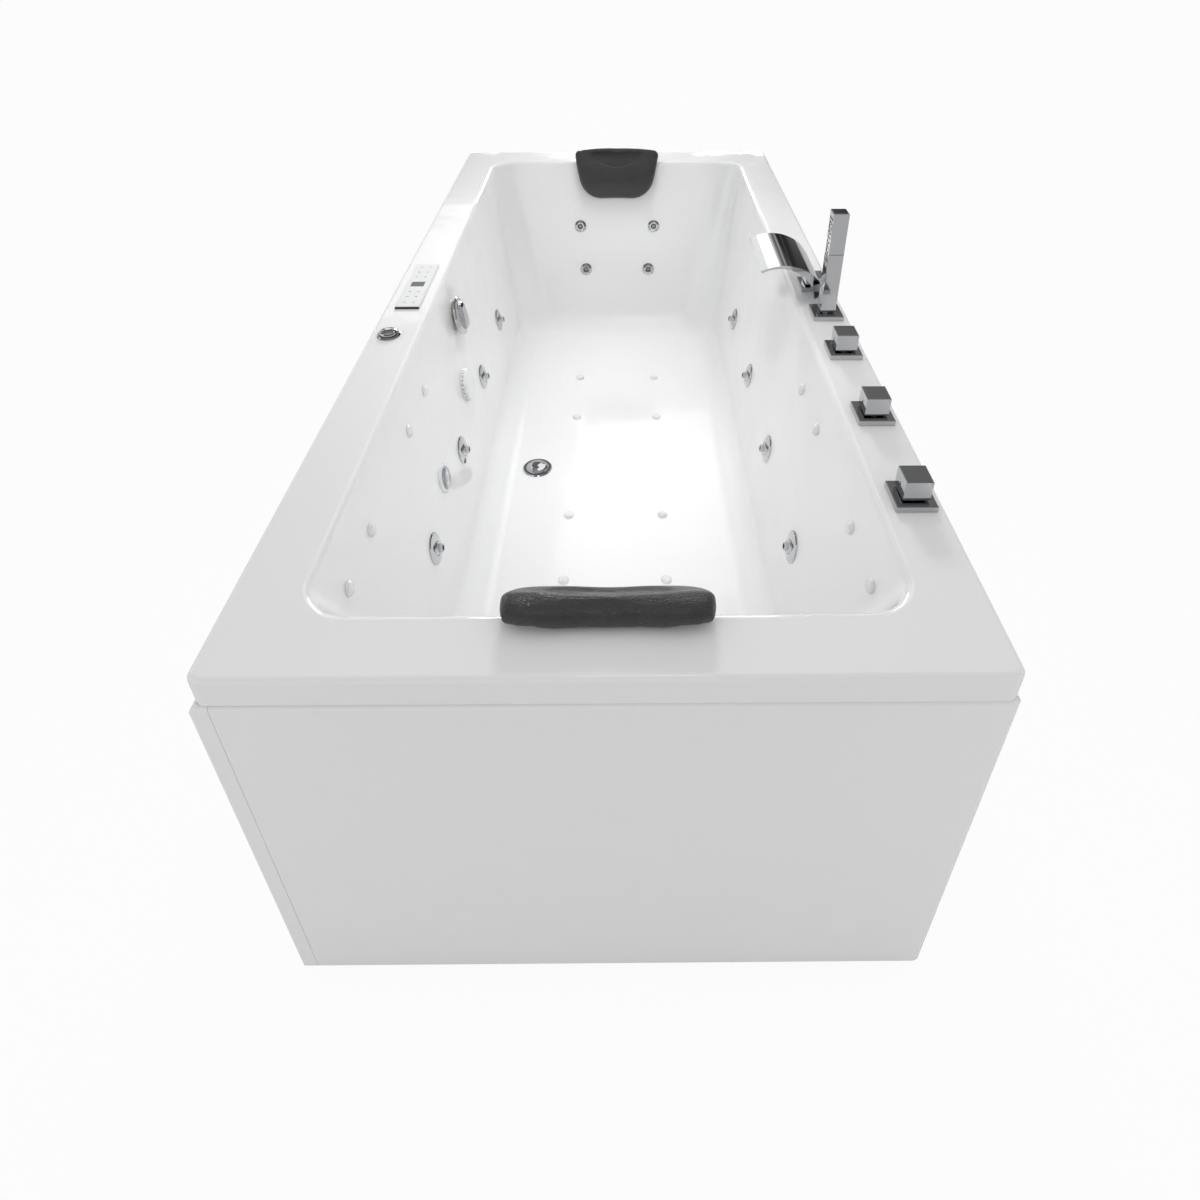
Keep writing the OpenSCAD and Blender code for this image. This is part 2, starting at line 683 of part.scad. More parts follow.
module back_nozzle(i) color("gray") at_far(back_jets[i][0], back_jets[i][1]) nozzle(back_ball_d);

// Air jets: a domed cap, a stem through the shell, a nut and an eye round the air tube
module air_cap() {
    rotate_extrude() polygon([[0, bead], [air_cap_d / 2, bead], [air_cap_d / 2, bead + 1.5],
        [air_cap_d / 2 - 2, bead + 4], [air_cap_d / 2 - 5, bead + 5.5], [0, bead + 6.2]]);
}
floor_tube_z = rail_z + 12;
eye_wall = 3;
module floor_air_jets() {
    drop = floor_z - floor_tube_z;
    color("white") for (x = [-floor_air_x, floor_air_x], y = floor_air_ys)
        translate([x, y, floor_z]) difference() {
            union() {
                air_cap();
                disc(air_stem_r, -drop, 2 * bead);
                disc(air_cap_d - 4, -floor_t - bead - 6, -floor_t - bead);
                translate([0, 0, -drop]) along_y(air_d / 2 + eye_wall, -12, 12);
            }
            translate([0, 0, -drop]) along_y(air_d / 2 + slip, -12 - over, 12 + over);
        }
}
wall_tube_w = 21;
module wall_air_jets() {
    color("white") for (s = [-1, 1], y = wall_air_ys) at_side(s, y, wall_air_depth) difference() {
        union() {
            air_cap();
            disc(air_stem_r, -wall_tube_w, 2 * bead);
            disc(air_cap_d - 5, -side_skin - bead - 5, -side_skin - bead);
            translate([0, 0, -wall_tube_w]) along_y(air_d / 2 + eye_wall, -12, 12);
        }
        translate([0, 0, -wall_tube_w]) along_y(air_d / 2 + slip, -12 - over, 12 + over);
    }
}

// Suction fitting: slotted cover in the basin, cup and side outlet behind the wall
suction_w = 36;
suction_rise = 8;
suction_socket = 26;
cover_h = 12;
module suction_cover() {
    r = suction_cover_d / 2;
    color("white") at_side(-1, suction_y, suction_depth) difference() {
        rotate_extrude() polygon([[0, bead], [r - 1, bead], [r, 2], [r, cover_h - 4],
            [r - 1.2, cover_h - 1.6], [r - 4, cover_h], [0, cover_h]]);
        disc(suction_neck_r + 2, 0, cover_h - 3);
        for (a = [0:15:345]) rotate([0, 0, a])
            block([suction_neck_r, -1.5, 3.5], [r + over, 1.5, 6.5]);
    }
}
module suction_body() {
    z_end = -suction_w - suction_d / 2 - 2;
    color("gainsboro") at_side(-1, suction_y, suction_depth) difference() {
        union() {
            disc(suction_neck_r, -side_skin - over, bead);
            disc(suction_neck_r + 8, -side_skin - bead - 6, -side_skin - bead);
            disc(suction_neck_r + 3, z_end, -side_skin - bead);
            translate([-suction_rise, 0, -suction_w]) along_y(suction_d / 2 + 4, 0, 44);
        }
        disc(suction_neck_r - 4, z_end + 4, over);
        translate([-suction_rise, 0, -suction_w])
            along_y(suction_d / 2 + slip, suction_socket, 44 + over);
        translate([-suction_rise, 0, -suction_w]) along_y(suction_d / 2 - 4, 0, 30);
    }
}

// Underwater light: bezel and housing, and a domed lens
module light_housing() {
    r = light_d / 2;
    color("whitesmoke") at_side(-1, light_y, light_depth) difference() {
        union() {
            rotate_extrude() polygon([[0, bead], [r, bead], [r, 1.4], [r - 2.5, 4], [r - 4, 4.4], [0, 4.4]]);
            disc(light_neck_r, -32, bead);
            disc(light_neck_r + 7, -side_skin - bead - 6, -side_skin - bead);
        }
        disc(r - 5.5, 1.2, 4.4 + over);
        disc(light_neck_r - 3, -28, 4.4);
    }
}
module light_lens() {
    r = light_d / 2 - 5.5 - slip;
    color([0.9, 0.95, 1, 0.5]) at_side(-1, light_y, light_depth)
        translate([0, 0, 1.2 + slip]) rotate_extrude() polygon([[0, 0], [r, 0], [r, 3.5],
            for (a = [15:15:90]) [r * cos(a), 3.5 + 6 * sin(a)]]);
}

// Pop-up waste: flange, plug on a stem, and the body under the floor
stem_r = 4;
spider_z = -6.5;
module drain_flange() {
    r = drain_d / 2;
    color("silver") translate([drain_x, drain_y, floor_z]) {
        difference() {
            union() {
                rotate_extrude() polygon([[0, bead], [r, bead], [r, 1], [r - 2, 2.6], [0, 2.6]]);
                disc(drain_neck_r - 0.5, -18, bead);
            }
            disc(plug_d / 2 + 0.6, -4, over * 4);
            disc(drain_neck_r - 4, -18 - over, over);
        }
        difference() {
            union() {
                disc(stem_r + 3, spider_z - 4, spider_z + 2);
                for (a = [0, 90]) rotate([0, 0, a])
                    block([-drain_neck_r + 2, -1.5, spider_z - 4], [drain_neck_r - 2, 1.5, spider_z]);
            }
            disc(stem_r + run, -30, over);
        }
    }
}
plug_lift = 12;
module drain_plug() {
    r = plug_d / 2;
    color("silver") translate([drain_x, drain_y, floor_z]) {
        rotate_extrude() polygon([[0, -3.6], [r - 3, -3.6], [r, -1], [r, 3.2], [r - 1.5, 4.6],
            [r - 6, 6.6], [r - 12, 7.8], [0, 8.6]]);
        disc(stem_r, -36, 0);
    }
}
waste_z = board_z - 6;
waste_l = 50;
pipe_gap = 1.5;
suction_at = side_point(-1, suction_y, suction_depth, suction_rise, suction_w);
overflow_x = suction_at[0] - (suction_d + overflow_d) / 2 - pipe_gap;
waste_turn = atan2(overflow_y - drain_y, overflow_x - drain_x);
module drain_body() {
    bottom = waste_z - overflow_d / 2 - 8;
    r = drain_neck_r + 3;
    color("dimgray") translate([drain_x, drain_y, 0]) difference() {
        union() {
            disc(r, bottom, floor_z - floor_t - bead);
            disc(r + 6, floor_z - floor_t - bead - 5, floor_z - floor_t - bead);
            disc(waste_d / 2, bottom - waste_l, bottom + over);
            translate([0, 0, waste_z]) rotate([0, 0, waste_turn])
                along_x(overflow_d / 2 + 3.5, 0, 50);
        }
        disc(drain_neck_r - 0.5 + slip, floor_z - 24, floor_z);
        disc(drain_neck_r - 3, bottom + 4, floor_z);
        disc(waste_d / 2 - 3, bottom - waste_l - over, bottom + 5);
        translate([0, 0, waste_z]) rotate([0, 0, waste_turn]) {
            along_x(overflow_d / 2 - 3, 0, 50);
            along_x(overflow_d / 2 + slip, 34, 50 + over);
        }
    }
}

// Overflow: turning knob in the basin, cup behind the wall, pipe down to the waste
overflow_w = (-overflow_x - half_x(rim_z - overflow_depth)) / cos(side_lean);
overflow_z = rim_z - overflow_depth - overflow_w * sin(side_lean);
spindle_r = 6;
module overflow_body() {
    r = overflow_neck_r + 3;
    color("gainsboro") difference() {
        union() {
            at_side(-1, overflow_y, overflow_depth) {
                rotate_extrude() polygon([[0, bead], [32, bead], [32, 2], [29, 4], [0, 4]]);
                disc(overflow_neck_r, -side_skin - over, 2 * bead);
                disc(r + 5, -side_skin - bead - 6, -side_skin - bead);
                disc(r, -overflow_w - 6, -side_skin - bead - 2);
            }
            translate([overflow_x, overflow_y, 0])
                disc(overflow_d / 2 + 2.5, overflow_z - 42, overflow_z);
        }
        at_side(-1, overflow_y, overflow_depth) {
            difference() {
                disc(overflow_neck_r - 3, -overflow_w, 4 + over);
                disc(spindle_r + 4, -14, 3);
                for (a = [30, 90, 150]) rotate([0, 0, a]) block([-30, -1.5, -10], [30, 1.5, 2.4]);
            }
            disc(spindle_r + run, -18, 4 + over);
        }
        translate([overflow_x, overflow_y, 0]) {
            disc(overflow_d / 2 - 3, overflow_z - 40, overflow_z - 4);
            disc(overflow_d / 2 + slip, overflow_z - 42 - over, overflow_z - 24);
        }
    }
}
module overflow_knob() {
    r = overflow_knob_d / 2;
    color("silver") at_side(-1, overflow_y, overflow_depth) {
        disc(spindle_r, -16, 12);
        rotate_extrude() polygon([[0, 9], [r - 4, 9], [r, 10.5], [r, 14], [r - 1.5, 15.6],
            [r - 10, 17.5], [0, 18.5]]);
        intersection() {
            rotate_extrude() polygon([[0, 17], [r - 9, 17], [r - 11, 22], [r - 16, 24.6], [0, 26]]);
            block([-r, -9, 16], [r, 9, 30]);
        }
    }
}
module overflow_pipe() {
    socket = [drain_x + 34.5 * cos(waste_turn), drain_y + 34.5 * sin(waste_turn), waste_z];
    corner = [overflow_x, overflow_y, waste_z];
    top = [overflow_x, overflow_y, overflow_z - 24.5];
    color("gainsboro") pipe_run([socket, corner, top], overflow_d);
}

// Deck fittings
module prism_x(points, l) rotate([90, 0, 90]) translate([0, 0, -l / 2]) linear_extrude(l) polygon(points);
// Square block from z0 to z1 with a bevel of b round its top, and round its foot where foot > 0
module bevel_block(w, z0, z1, b, foot) {
    h = w / 2;
    side = [[foot - h, z0], [h - foot, z0], [h, z0 + foot], [h, z1 - b], [h - b, z1], [b - h, z1],
            [-h, z1 - b], [-h, z0 + foot]];
    intersection() {
        prism_x(side, w);
        rotate([0, 0, 90]) prism_x(side, w);
    }
}
neck_r = 11;
module escutcheon(bore_r) {
    difference() {
        bevel_block(plate_w, bead, plate_h, 1, 0);
        disc(bore_r, -over, plate_h + over);
    }
}
handle_stem_r = 5;
spout_shank_r = 12;
shower_stem_r = 8;
module on_deck(y) translate([deck_x, y, rim_z]) children();
module tap_bases() {
    color("silver") {
        for (y = deck_ys) on_deck(y) escutcheon(handle_stem_r + 1);
        on_deck(shower_y) escutcheon(shower_stem_r + run);
    }
}
valve_r = 16.5;
valve_l = 60;
link_r = 8;
tail_r = 10.478;
tail_l = 25;
tail_z = rail_z - 44;
tail_x = frame_x - tube_s / 2 - 20;
inlet_d = 18;
shank_l = 32;
module tap_manifold() {
    under = -rim_t - bead;
    mid = -rim_t - valve_l * 0.7;
    jog_z = header_z - water_d / 2 - 42;
    color("goldenrod") difference() {
        union() {
            for (y = concat(deck_ys, [shower_y, spout_y])) on_deck(y) {
                disc(valve_r, under - valve_l, under);
                translate([0, 0, under - 8]) cylinder(r = valve_r + 2, h = 8, $fn = 6);
            }
            for (y = [deck_ys[0], deck_ys[1]]) {
                pipe_run([[deck_x, y, rim_z + under - valve_l + over], [deck_x, y, jog_z],
                    [tail_x, y, jog_z - deck_x + tail_x], [tail_x, y, tail_z + tail_l]], inlet_d);
                translate([tail_x, y, tail_z]) {
                    disc(tail_r, 0, tail_l + over);
                    disc(tail_r + 3, tail_l, tail_l + 8);
                }
            }
            translate([deck_x, 0, rim_z + mid]) along_y(link_r, deck_ys[0], spout_y);
        }
        for (y = deck_ys) on_deck(y) disc(handle_stem_r + run, under - 24, over);
        for (y = [deck_ys[0], deck_ys[1]]) translate([tail_x, y, tail_z])
            disc(inlet_d / 2 - 2, -over, 2 * tail_l);
        on_deck(shower_y) disc(shower_stem_r + 2, under - shank_l, over);
        on_deck(spout_y) disc(spout_shank_r + slip, under - shank_l, over);
    }
}
neck_gap = 0.3;
cube_lift = plate_h + cube_gap;
module handle(y) {
    color("silver") on_deck(y) difference() {
        union() {
            bevel_block(cube_w, cube_lift, cube_lift + cube_h, 1, 1);
            disc(neck_r, plate_h + neck_gap, cube_lift + over);
            disc(handle_stem_r, -rim_t - 20, plate_h + over);
        }
        translate([-cube_w / 2, 0, cube_lift + cube_h * 0.48]) along_x(2.3, -over, 0.8);
    }
}
module hand_shower() {
    h = shower_w / 2;
    face = [0.5 * shower_h, shower_h - 9];
    color("silver") on_deck(shower_y) {
        difference() {
            bevel_block(shower_w, cube_lift, shower_h, 1.2, 1.2);
            block([-h - over, -h + 3, face[0]], [-h + 1.2, h - 3, face[1]]);
        }
        for (i = [0:9], j = [-1, 0, 1])
            translate([-h + 1.2, j * 5.5, face[0] + 5 + i * (face[1] - face[0] - 10) / 9])
            rotate([0, -90, 0]) cylinder(r1 = 1.3, r2 = 0.9, h = 1.6, $fn = 16);
        disc(shower_stem_r, -rim_t - 28, cube_lift + 2);
    }
}

// Waterfall spout: an arched blade, thick at its root, with a slot across its thin mouth
spout_root_a = 18;
spout_tip_a = 119;
spout_cx = deck_x + 11 - spout_r;
spout_cz = rim_z - 8;
spout_foot_w = 34;
spout_foot_h = 24;
slot_angle = 24;
slot_wall = 1.2;
// The inner arc's centre lies off the outer one's, toward the mouth, by a taper
spout_taper = (spout_root_t - spout_tip_t) / (1 - cos(spout_tip_a - spout_root_a));
function ray(a, r) = [r * cos(a), r * sin(a)];
// Side view of the blade between two angles, with walls cut away from both its faces
module crescent(a0, a1, wall) {
    intersection() {
        difference() {
            circle(spout_r - wall, $fn = 96);
            translate(ray(spout_tip_a, spout_taper))
                circle(spout_r - spout_tip_t - spout_taper + wall, $fn = 96);
        }
        polygon(concat([[0, 0]], [for (i = [0:2]) ray(a0 + (a1 - a0) * i / 2, 2 * spout_r)]));
    }
}
module blade(a0, a1, wall, w)
    translate([spout_cx, spout_y + w / 2, spout_cz]) rotate([90, 0, 0]) linear_extrude(w) crescent(a0, a1, wall);
module spout() {
    color("silver") {
        on_deck(spout_y) {
            bevel_block(plate_w, bead, plate_h, 1, 0);
            bevel_block(spout_foot_w, cube_lift, spout_foot_h, 1, 1);
            disc(neck_r, plate_h - over, cube_lift + over);
            disc(spout_shank_r, -rim_t - 30, over);
        }
        difference() {
            blade(spout_root_a, spout_tip_a, 0, spout_w);
            blade(spout_tip_a - slot_angle, spout_tip_a + over, slot_wall, spout_w - 4 * slot_wall);
        }
    }
}

// Touch control panel and its display
display_l = 20;
display_w = 24;
keys_r = 3.4;
module control_panel() {
    color("white") translate([keypad_x, keypad_y, rim_z]) difference() {
        union() {
            intersection() {
                prism_x([[-keypad_l / 2, bead], [keypad_l / 2, bead], [keypad_l / 2, keypad_h - 1.5],
                    [keypad_l / 2 - 1.5, keypad_h], [1.5 - keypad_l / 2, keypad_h],
                    [-keypad_l / 2, keypad_h - 1.5]], keypad_w);
                rotate([0, 0, 90]) prism_x([[-keypad_w / 2, bead], [keypad_w / 2, bead],
                    [keypad_w / 2, keypad_h - 1.5], [keypad_w / 2 - 1.5, keypad_h],
                    [1.5 - keypad_w / 2, keypad_h], [-keypad_w / 2, keypad_h - 1.5]], keypad_l);
            }
            disc(stud_r * 2 - slip, -rim_t - 12, 2 * bead);
        }
        block([-display_w / 2 - slip, -display_l / 2 - slip, keypad_h - 1.5],
              [display_w / 2 + slip, display_l / 2 + slip, keypad_h + over]);
    }
}
module control_display() {
    color([0.25, 0.25, 0.27]) translate([keypad_x, keypad_y, rim_z])
        block([-display_w / 2, -display_l / 2, keypad_h - 1.5 + bead / 4],
              [display_w / 2, display_l / 2, keypad_h - 0.3]);
}

// Air control: fixed ring and valve body, and a turning domed knob
air_body_l = 34;
module air_control_base() {
    r = air_knob_d / 2;
    color("silver") translate([air_knob_x, air_knob_y, rim_z]) difference() {
        union() {
            rotate_extrude() polygon([[0, bead], [r, bead], [r, 1.6], [r - 2, 4], [0, 4]]);
            disc(deck_hole_d / 2 - slip, -rim_t - air_body_l, bead + over);
            disc(deck_hole_d / 2 + 4, -rim_t - bead - 6, -rim_t - bead);
        }
        disc(r - 4, 2.2, 4 + over);
        disc(handle_stem_r + run, -20, 4);
        disc(venturi_d / 2 + slip, -rim_t - air_body_l - over, -rim_t - air_body_l + 12);
    }
}
module air_control_knob() {
    r = air_knob_d / 2 - 4.5;
    color("silver") translate([air_knob_x, air_knob_y, rim_z]) {
        difference() {
            rotate_extrude() polygon([[0, 2.6], [r, 2.6], [r, 6.5], [r - 1.2, 8.4], [r - 4, 10],
                [r - 8, 10.8], [0, 11]]);
            block([-r - over, -1.6, 9.6], [-r * 0.3, 1.6, 12]);
        }
        disc(handle_stem_r, -18, 3.5);
    }
}

// Water pipes: a pipe down each side, a header behind the far wall and the back jets' loop
header_y = far_point(0, back_upper_depth, back_pipe_w)[1] - 5;
header_x = abs(side_point(1, 0, side_jet_depth, 0, side_pipe_w)[0]);
header_z = side_point(1, 0, side_jet_depth, 0, side_pipe_w)[2];
pump_y = header_y;
pump_z = rail_top + shelf_t + 12 + wet_d / 2;
pump_x = -40;
loop_x = back_upper_x + 40;
module water_pipes() {
    upper = far_point(loop_x, back_upper_depth, back_pipe_w);
    lower = far_point(loop_x, back_lower_depth, back_pipe_w);
    side_end = side_jet_ys[side_jets - 1] - saddle_half - 12;
    discharge_x = pump_x - wet_l / 2;
    color("whitesmoke") {
        pipe_run([[-header_x, side_end, header_z], [-header_x, header_y, header_z],
                  [header_x, header_y, header_z], [header_x, side_end, header_z]], water_d);
        for (s = [-1, 1]) pipe_run([[s * loop_x, header_y, header_z],
            [s * upper[0], upper[1], upper[2]], [0, upper[1], upper[2]]], back_d);
        for (s = [-1, 1]) pipe_run([[s * loop_x, header_y, header_z],
            [s * lower[0], lower[1], lower[2]], [0, lower[1], lower[2]]], back_d);
        pipe([discharge_x, pump_y, pump_z + wet_d / 2 + 10], [discharge_x, header_y, header_z],
             water_d);
    }
}
suction_run_x = panel_edge + suction_d / 2 + elbow_t + 2.5 - panel_hx;
suction_turn_y = header_y - 127;
module suction_pipe() {
    p = suction_at;
    color("whitesmoke") pipe_run([[p[0], p[1] + suction_socket + 1, p[2]], [p[0], suction_turn_y - 50, p[2]],
        [suction_run_x, suction_turn_y, p[2]], [suction_run_x, suction_turn_y, pump_z],
        [suction_run_x, pump_y, pump_z], [pump_x - wet_l - 16, pump_y, pump_z]], suction_d);
}

// Air pipes: tubes to the air jets, and thin lines to the water jets
blower_y = 82 - end_y;
air_end_y = 72 - end_y;
blower_x = box_at[0] - blower_d / 2 - 38;
blower_low = 18;
blower_high = box_size[2] + 18;
union_l = 14;
module air_pipes() {
    eye = side_point(1, 0, side_jet_depth, eye_u, eye_w);
    wall = side_point(1, 0, wall_air_depth, 0, wall_tube_w);
    near_end = blower_d / 2 + 4;
    low = rail_top + shelf_t + blower_low;
    high = rail_top + shelf_t + blower_high;
    header = -floor_air_y2 - 66;
    riser = shelf_near_y + 49;
    color("lightgray") {
        for (s = [-1, 1]) {
            pipe_run([[s * wall[0], wall_air_ys[3] + 14, wall[2]], [s * wall[0], air_end_y, wall[2]],
                [s * wall[0], air_end_y, high], [blower_x + s * near_end, air_end_y, high]], air_d);
            pipe_run([[s * floor_air_x, floor_air_y2 + 14, floor_tube_z],
                [s * floor_air_x, header, floor_tube_z], [blower_x, header, floor_tube_z]], air_d);
        }
        pipe_run([[blower_x, header, floor_tube_z], [blower_x, riser, floor_tube_z],
            [blower_x, riser, low], [blower_x, blower_y + near_end, low]], air_d);
        pipe_run([[-eye[0], side_jet_ys[0] + 12, eye[2]], [-eye[0], air_end_y, eye[2]],
            [eye[0], air_end_y, eye[2]], [eye[0], side_jet_ys[0] + 12, eye[2]]], venturi_d);
        pipe_run([[air_knob_x, air_knob_y, rim_z - rim_t - air_body_l + 11],
            [air_knob_x, air_knob_y, rim_z - rim_t - air_body_l - 12],
            [air_knob_x, air_knob_y - 36, rim_z - rim_t - air_body_l - 40],
            [air_knob_x, air_knob_y - 36, eye[2]], [-eye[0], air_knob_y - 36, eye[2]]], venturi_d);
        elbow([-eye[0], air_knob_y - 36, eye[2]], [1, 0, 0], [0, 1, 0], venturi_d);
        elbow([blower_x, header, floor_tube_z], [1, 0, 0], [0, 1, 0], air_d);
    }
}

// Pump: wet end with its two unions, and a finned motor on a foot
module pump_wet_end() {
    r = wet_d / 2;
    color("dimgray") translate([pump_x, pump_y, pump_z]) difference() {
        union() {
            along_x(r, -wet_l, -14);
            along_x(r - 8, -14, 0);
            along_x(suction_d / 2 + 7, -wet_l - 28, -wet_l + over);
            translate([-wet_l / 2, 0, 0]) disc(water_d / 2 + 6, 0, r + 22);
            block([-wet_l * 0.8, -r * 0.7, -r - 12], [-wet_l * 0.3, r * 0.7, -r * 0.5]);
        }
        along_x(suction_d / 2 + slip, -wet_l - 28 - over, -wet_l - 15);
        along_x(suction_d / 2 - 3, -wet_l - 16, -wet_l * 0.6);
        translate([-wet_l / 2, 0, 0]) disc(water_d / 2 + slip, r + 9, r + 22 + over);
        translate([-wet_l / 2, 0, 0]) disc(water_d / 2 - 3, 0, r + 10);
    }
}
module pump_motor() {
    r = motor_d / 2;
    color("darkslategray") translate([pump_x, pump_y, pump_z]) {
        along_x(r - 5, 0.3, motor_l - 30);
        for (i = [0:10]) translate([14 + i * 14, 0, 0]) along_x(r, 0, 4);
        difference() {
            along_x(r - 2, motor_l - 32, motor_l);
            for (a = [0:30:330]) rotate([a, 0, 0])
                block([motor_l - 3, r * 0.45, -3], [motor_l + over, r * 0.8, 3]);
        }
        block([40, -r * 0.75, -pump_z + rail_top + shelf_t], [motor_l - 60, r * 0.75, -r * 0.6]);
        block([60, -30, r - 12], [150, 30, r + 26]);
    }
}
module air_blower() {
    r = blower_d / 2;
    side_y = air_end_y - blower_y;
    color("darkslategray") translate([blower_x, blower_y, rail_top + shelf_t]) difference() {
        union() {
            disc(r, 0, blower_h * 0.55);
            disc(r - 12, blower_h * 0.5, blower_h);
            disc(r - 6, blower_h * 0.9, blower_h);
            translate([0, side_y, blower_high]) along_x(air_d / 2 + 3, -r - union_l, r + union_l);
            translate([0, 0, blower_low]) along_y(air_d / 2 + 3, 0, r + union_l);
        }
        for (s = [-1, 1]) translate([s * (r + 2), side_y, blower_high])
            rotate([0, s * 90, 0]) disc(air_d / 2 + slip, 0, union_l);
        translate([0, 0, blower_low]) along_y(air_d / 2 + slip, r + 2, r + union_l + over);
        for (a = [0:30:330]) rotate([0, 0, a])
            block([r * 0.35, -3, blower_h - 3], [r * 0.75, 3, blower_h + over]);
    }
}

// Control box with a lid, and a cable gland out of its floor
module control_box() {
    z0 = rail_top + shelf_t;
    color("lightgray") translate([box_at[0], box_at[1], z0]) {
        cube([box_size[0], box_size[1], box_size[2] - 10]);
        translate([2, 2, box_size[2] - 10 - over])
            cube([box_size[0] - 4, box_size[1] - 4, 1.5 + over]);
        translate([0, 0, box_size[2] - 8.5]) cube([box_size[0], box_size[1], 8.5]);
        for (x = [8, box_size[0] - 8], y = [8, box_size[1] - 8])
            translate([x, y, 0]) disc(4, box_size[2] - over, box_size[2] + 1.5);
        translate([box_size[0] / 2, box_size[1] / 2, 0]) difference() {
            union() {
                disc(gland_r, -gland_l, over);
                translate([0, 0, -shelf_t - bead - 6]) cylinder(r = 11, h = 6, $fn = 6);
                translate([0, 0, -gland_l + 2]) cylinder(r = 10.5, h = 9, $fn = 6);
            }
            disc(gland_bore, -gland_l - over, gland_bore_l - gland_l);
        }
    }
}

tub_shell();
base_board();
frame_side_rails();
frame_cross_rails();
frame_posts();
levelling_feet();
panel_near();
panel_far();
panel_left();
panel_right();
panel_catches();
headrest_near();
headrest_far();
headrest_studs();
drain_flange();
drain_plug();
drain_body();
overflow_body();
overflow_pipe();
overflow_knob();
side_jet_bezels();
side_jet_bodies();
back_jet_bezels();
back_jet_bodies();
for (i = [0:3]) {
    side_nozzle(-1, i);
    side_nozzle(1, i);
    back_nozzle(i);
}
floor_air_jets();
wall_air_jets();
suction_cover();
suction_body();
light_lens();
light_housing();
control_panel();
control_display();
tap_bases();
tap_manifold();
handle(deck_ys[0]);  // handle_cold
handle(deck_ys[1]);  // handle_hot
handle(deck_ys[2]);  // handle_diverter
spout();
hand_shower();
air_control_base();
air_control_knob();
water_pipes();
suction_pipe();
air_pipes();
pump_wet_end();
pump_motor();
air_blower();
control_box();
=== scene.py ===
import math

import bmesh
import bpy
from mathutils import Matrix, Vector


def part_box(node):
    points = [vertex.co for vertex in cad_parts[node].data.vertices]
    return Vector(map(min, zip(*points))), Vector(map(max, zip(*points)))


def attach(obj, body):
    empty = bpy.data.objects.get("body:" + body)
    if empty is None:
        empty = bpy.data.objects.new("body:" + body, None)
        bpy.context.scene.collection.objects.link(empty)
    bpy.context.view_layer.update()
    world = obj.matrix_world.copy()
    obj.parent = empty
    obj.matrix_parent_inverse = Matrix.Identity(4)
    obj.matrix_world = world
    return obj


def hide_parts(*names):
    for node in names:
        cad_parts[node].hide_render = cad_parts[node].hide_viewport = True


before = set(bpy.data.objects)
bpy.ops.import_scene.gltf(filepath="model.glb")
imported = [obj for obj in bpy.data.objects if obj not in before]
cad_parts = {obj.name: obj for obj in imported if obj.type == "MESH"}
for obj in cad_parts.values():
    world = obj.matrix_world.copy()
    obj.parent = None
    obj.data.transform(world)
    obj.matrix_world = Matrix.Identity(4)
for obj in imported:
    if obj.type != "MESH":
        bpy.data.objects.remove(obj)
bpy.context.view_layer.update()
scene = bpy.context.scene
scene.view_settings.view_transform = "Standard"

# Studio floor: a wide pale sheet of matt card under and round the tub.
# The camera sees it nearly white, with a trace of the tub's shadow, and to every other ray
# it is plain matt card.
WHITE = (1.0, 1.0, 1.0, 1.0)
CARD = (0.86, 0.86, 0.86, 1.0)
CARD_ROUGH = 0.9
CARD_GLOW = 0.93
FLOOR_HALF = 12


def new_material(name, color, roughness, metallic=0.0):
    made = bpy.data.materials.new(name)
    made.use_nodes = True
    shader = made.node_tree.nodes["Principled BSDF"]
    shader.inputs["Base Color"].default_value = color
    shader.inputs["Roughness"].default_value = roughness
    shader.inputs["Metallic"].default_value = metallic
    return made, made.node_tree, shader


def add_node(tree, kind, **values):
    node = tree.nodes.new("ShaderNode" + kind)
    for socket, value in values.items():
        node.inputs[socket.replace("_", " ")].default_value = value
    return node


def join(tree, *wires):
    for source, output, target, socket in wires:
        tree.links.new(source.outputs[output], target.inputs[socket])


def mesh_object(name, shape):
    mesh = bpy.data.meshes.new(name)
    shape.to_mesh(mesh)
    shape.free()
    made = bpy.data.objects.new(name, mesh)
    scene.collection.objects.link(made)
    return made


def dress(piece, material):
    piece.data.materials.clear()
    piece.data.materials.append(material)


card, card_tree, card_shader = new_material("matt_card", CARD, CARD_ROUGH)
card_light = add_node(card_tree, "Emission", Color=WHITE)
card_mix = add_node(card_tree, "MixShader")
card_rays = add_node(card_tree, "LightPath")
card_share = add_node(card_tree, "Math")
card_share.operation = "MULTIPLY"
card_share.inputs[1].default_value = CARD_GLOW
join(card_tree,
     (card_rays, "Is Camera Ray", card_share, 0),
     (card_share, "Value", card_mix, 0),
     (card_shader, "BSDF", card_mix, 1),
     (card_light, "Emission", card_mix, 2),
     (card_mix, "Shader", card_tree.nodes["Material Output"], "Surface"))
floor_shape = bmesh.new()
bmesh.ops.create_grid(floor_shape, x_segments=1, y_segments=1, size=FLOOR_HALF)
floor = mesh_object("studio_floor", floor_shape)
dress(floor, card)

# Studio room: plain white to the camera, and an even light on every matt surface.
# Polish mirrors a white wall straight ahead and to the left, and to the right a dark room
# with a few pale stands in it, which give the chrome its streaks.
ROOM_LIGHT = 0.68
ROOM_WHITE = (0.97, 0.97, 0.97, 1.0)
WALL_STOPS = ((0.0, 0.9), (0.20, 0.3), (0.32, 0.3), (0.35, 1.3), (1.0, 1.3))
CEILING_STOPS = ((0.0, 0.22), (0.70, 0.18), (1.0, 0.45))
CEILING_START = ((0.0, 0.0), (0.435, 0.0), (0.465, 1.0))
STAND_STOPS = ((0.0, 1.0), (0.10, 1.0), (0.15, 0.30), (0.19, 0.10), (0.22, 0.42),
               (0.24, 0.10), (0.28, 0.06), (0.31, 0.26), (0.34, 0.08), (0.40, 0.20),
               (0.46, 0.06), (0.80, 0.10), (1.0, 0.55))

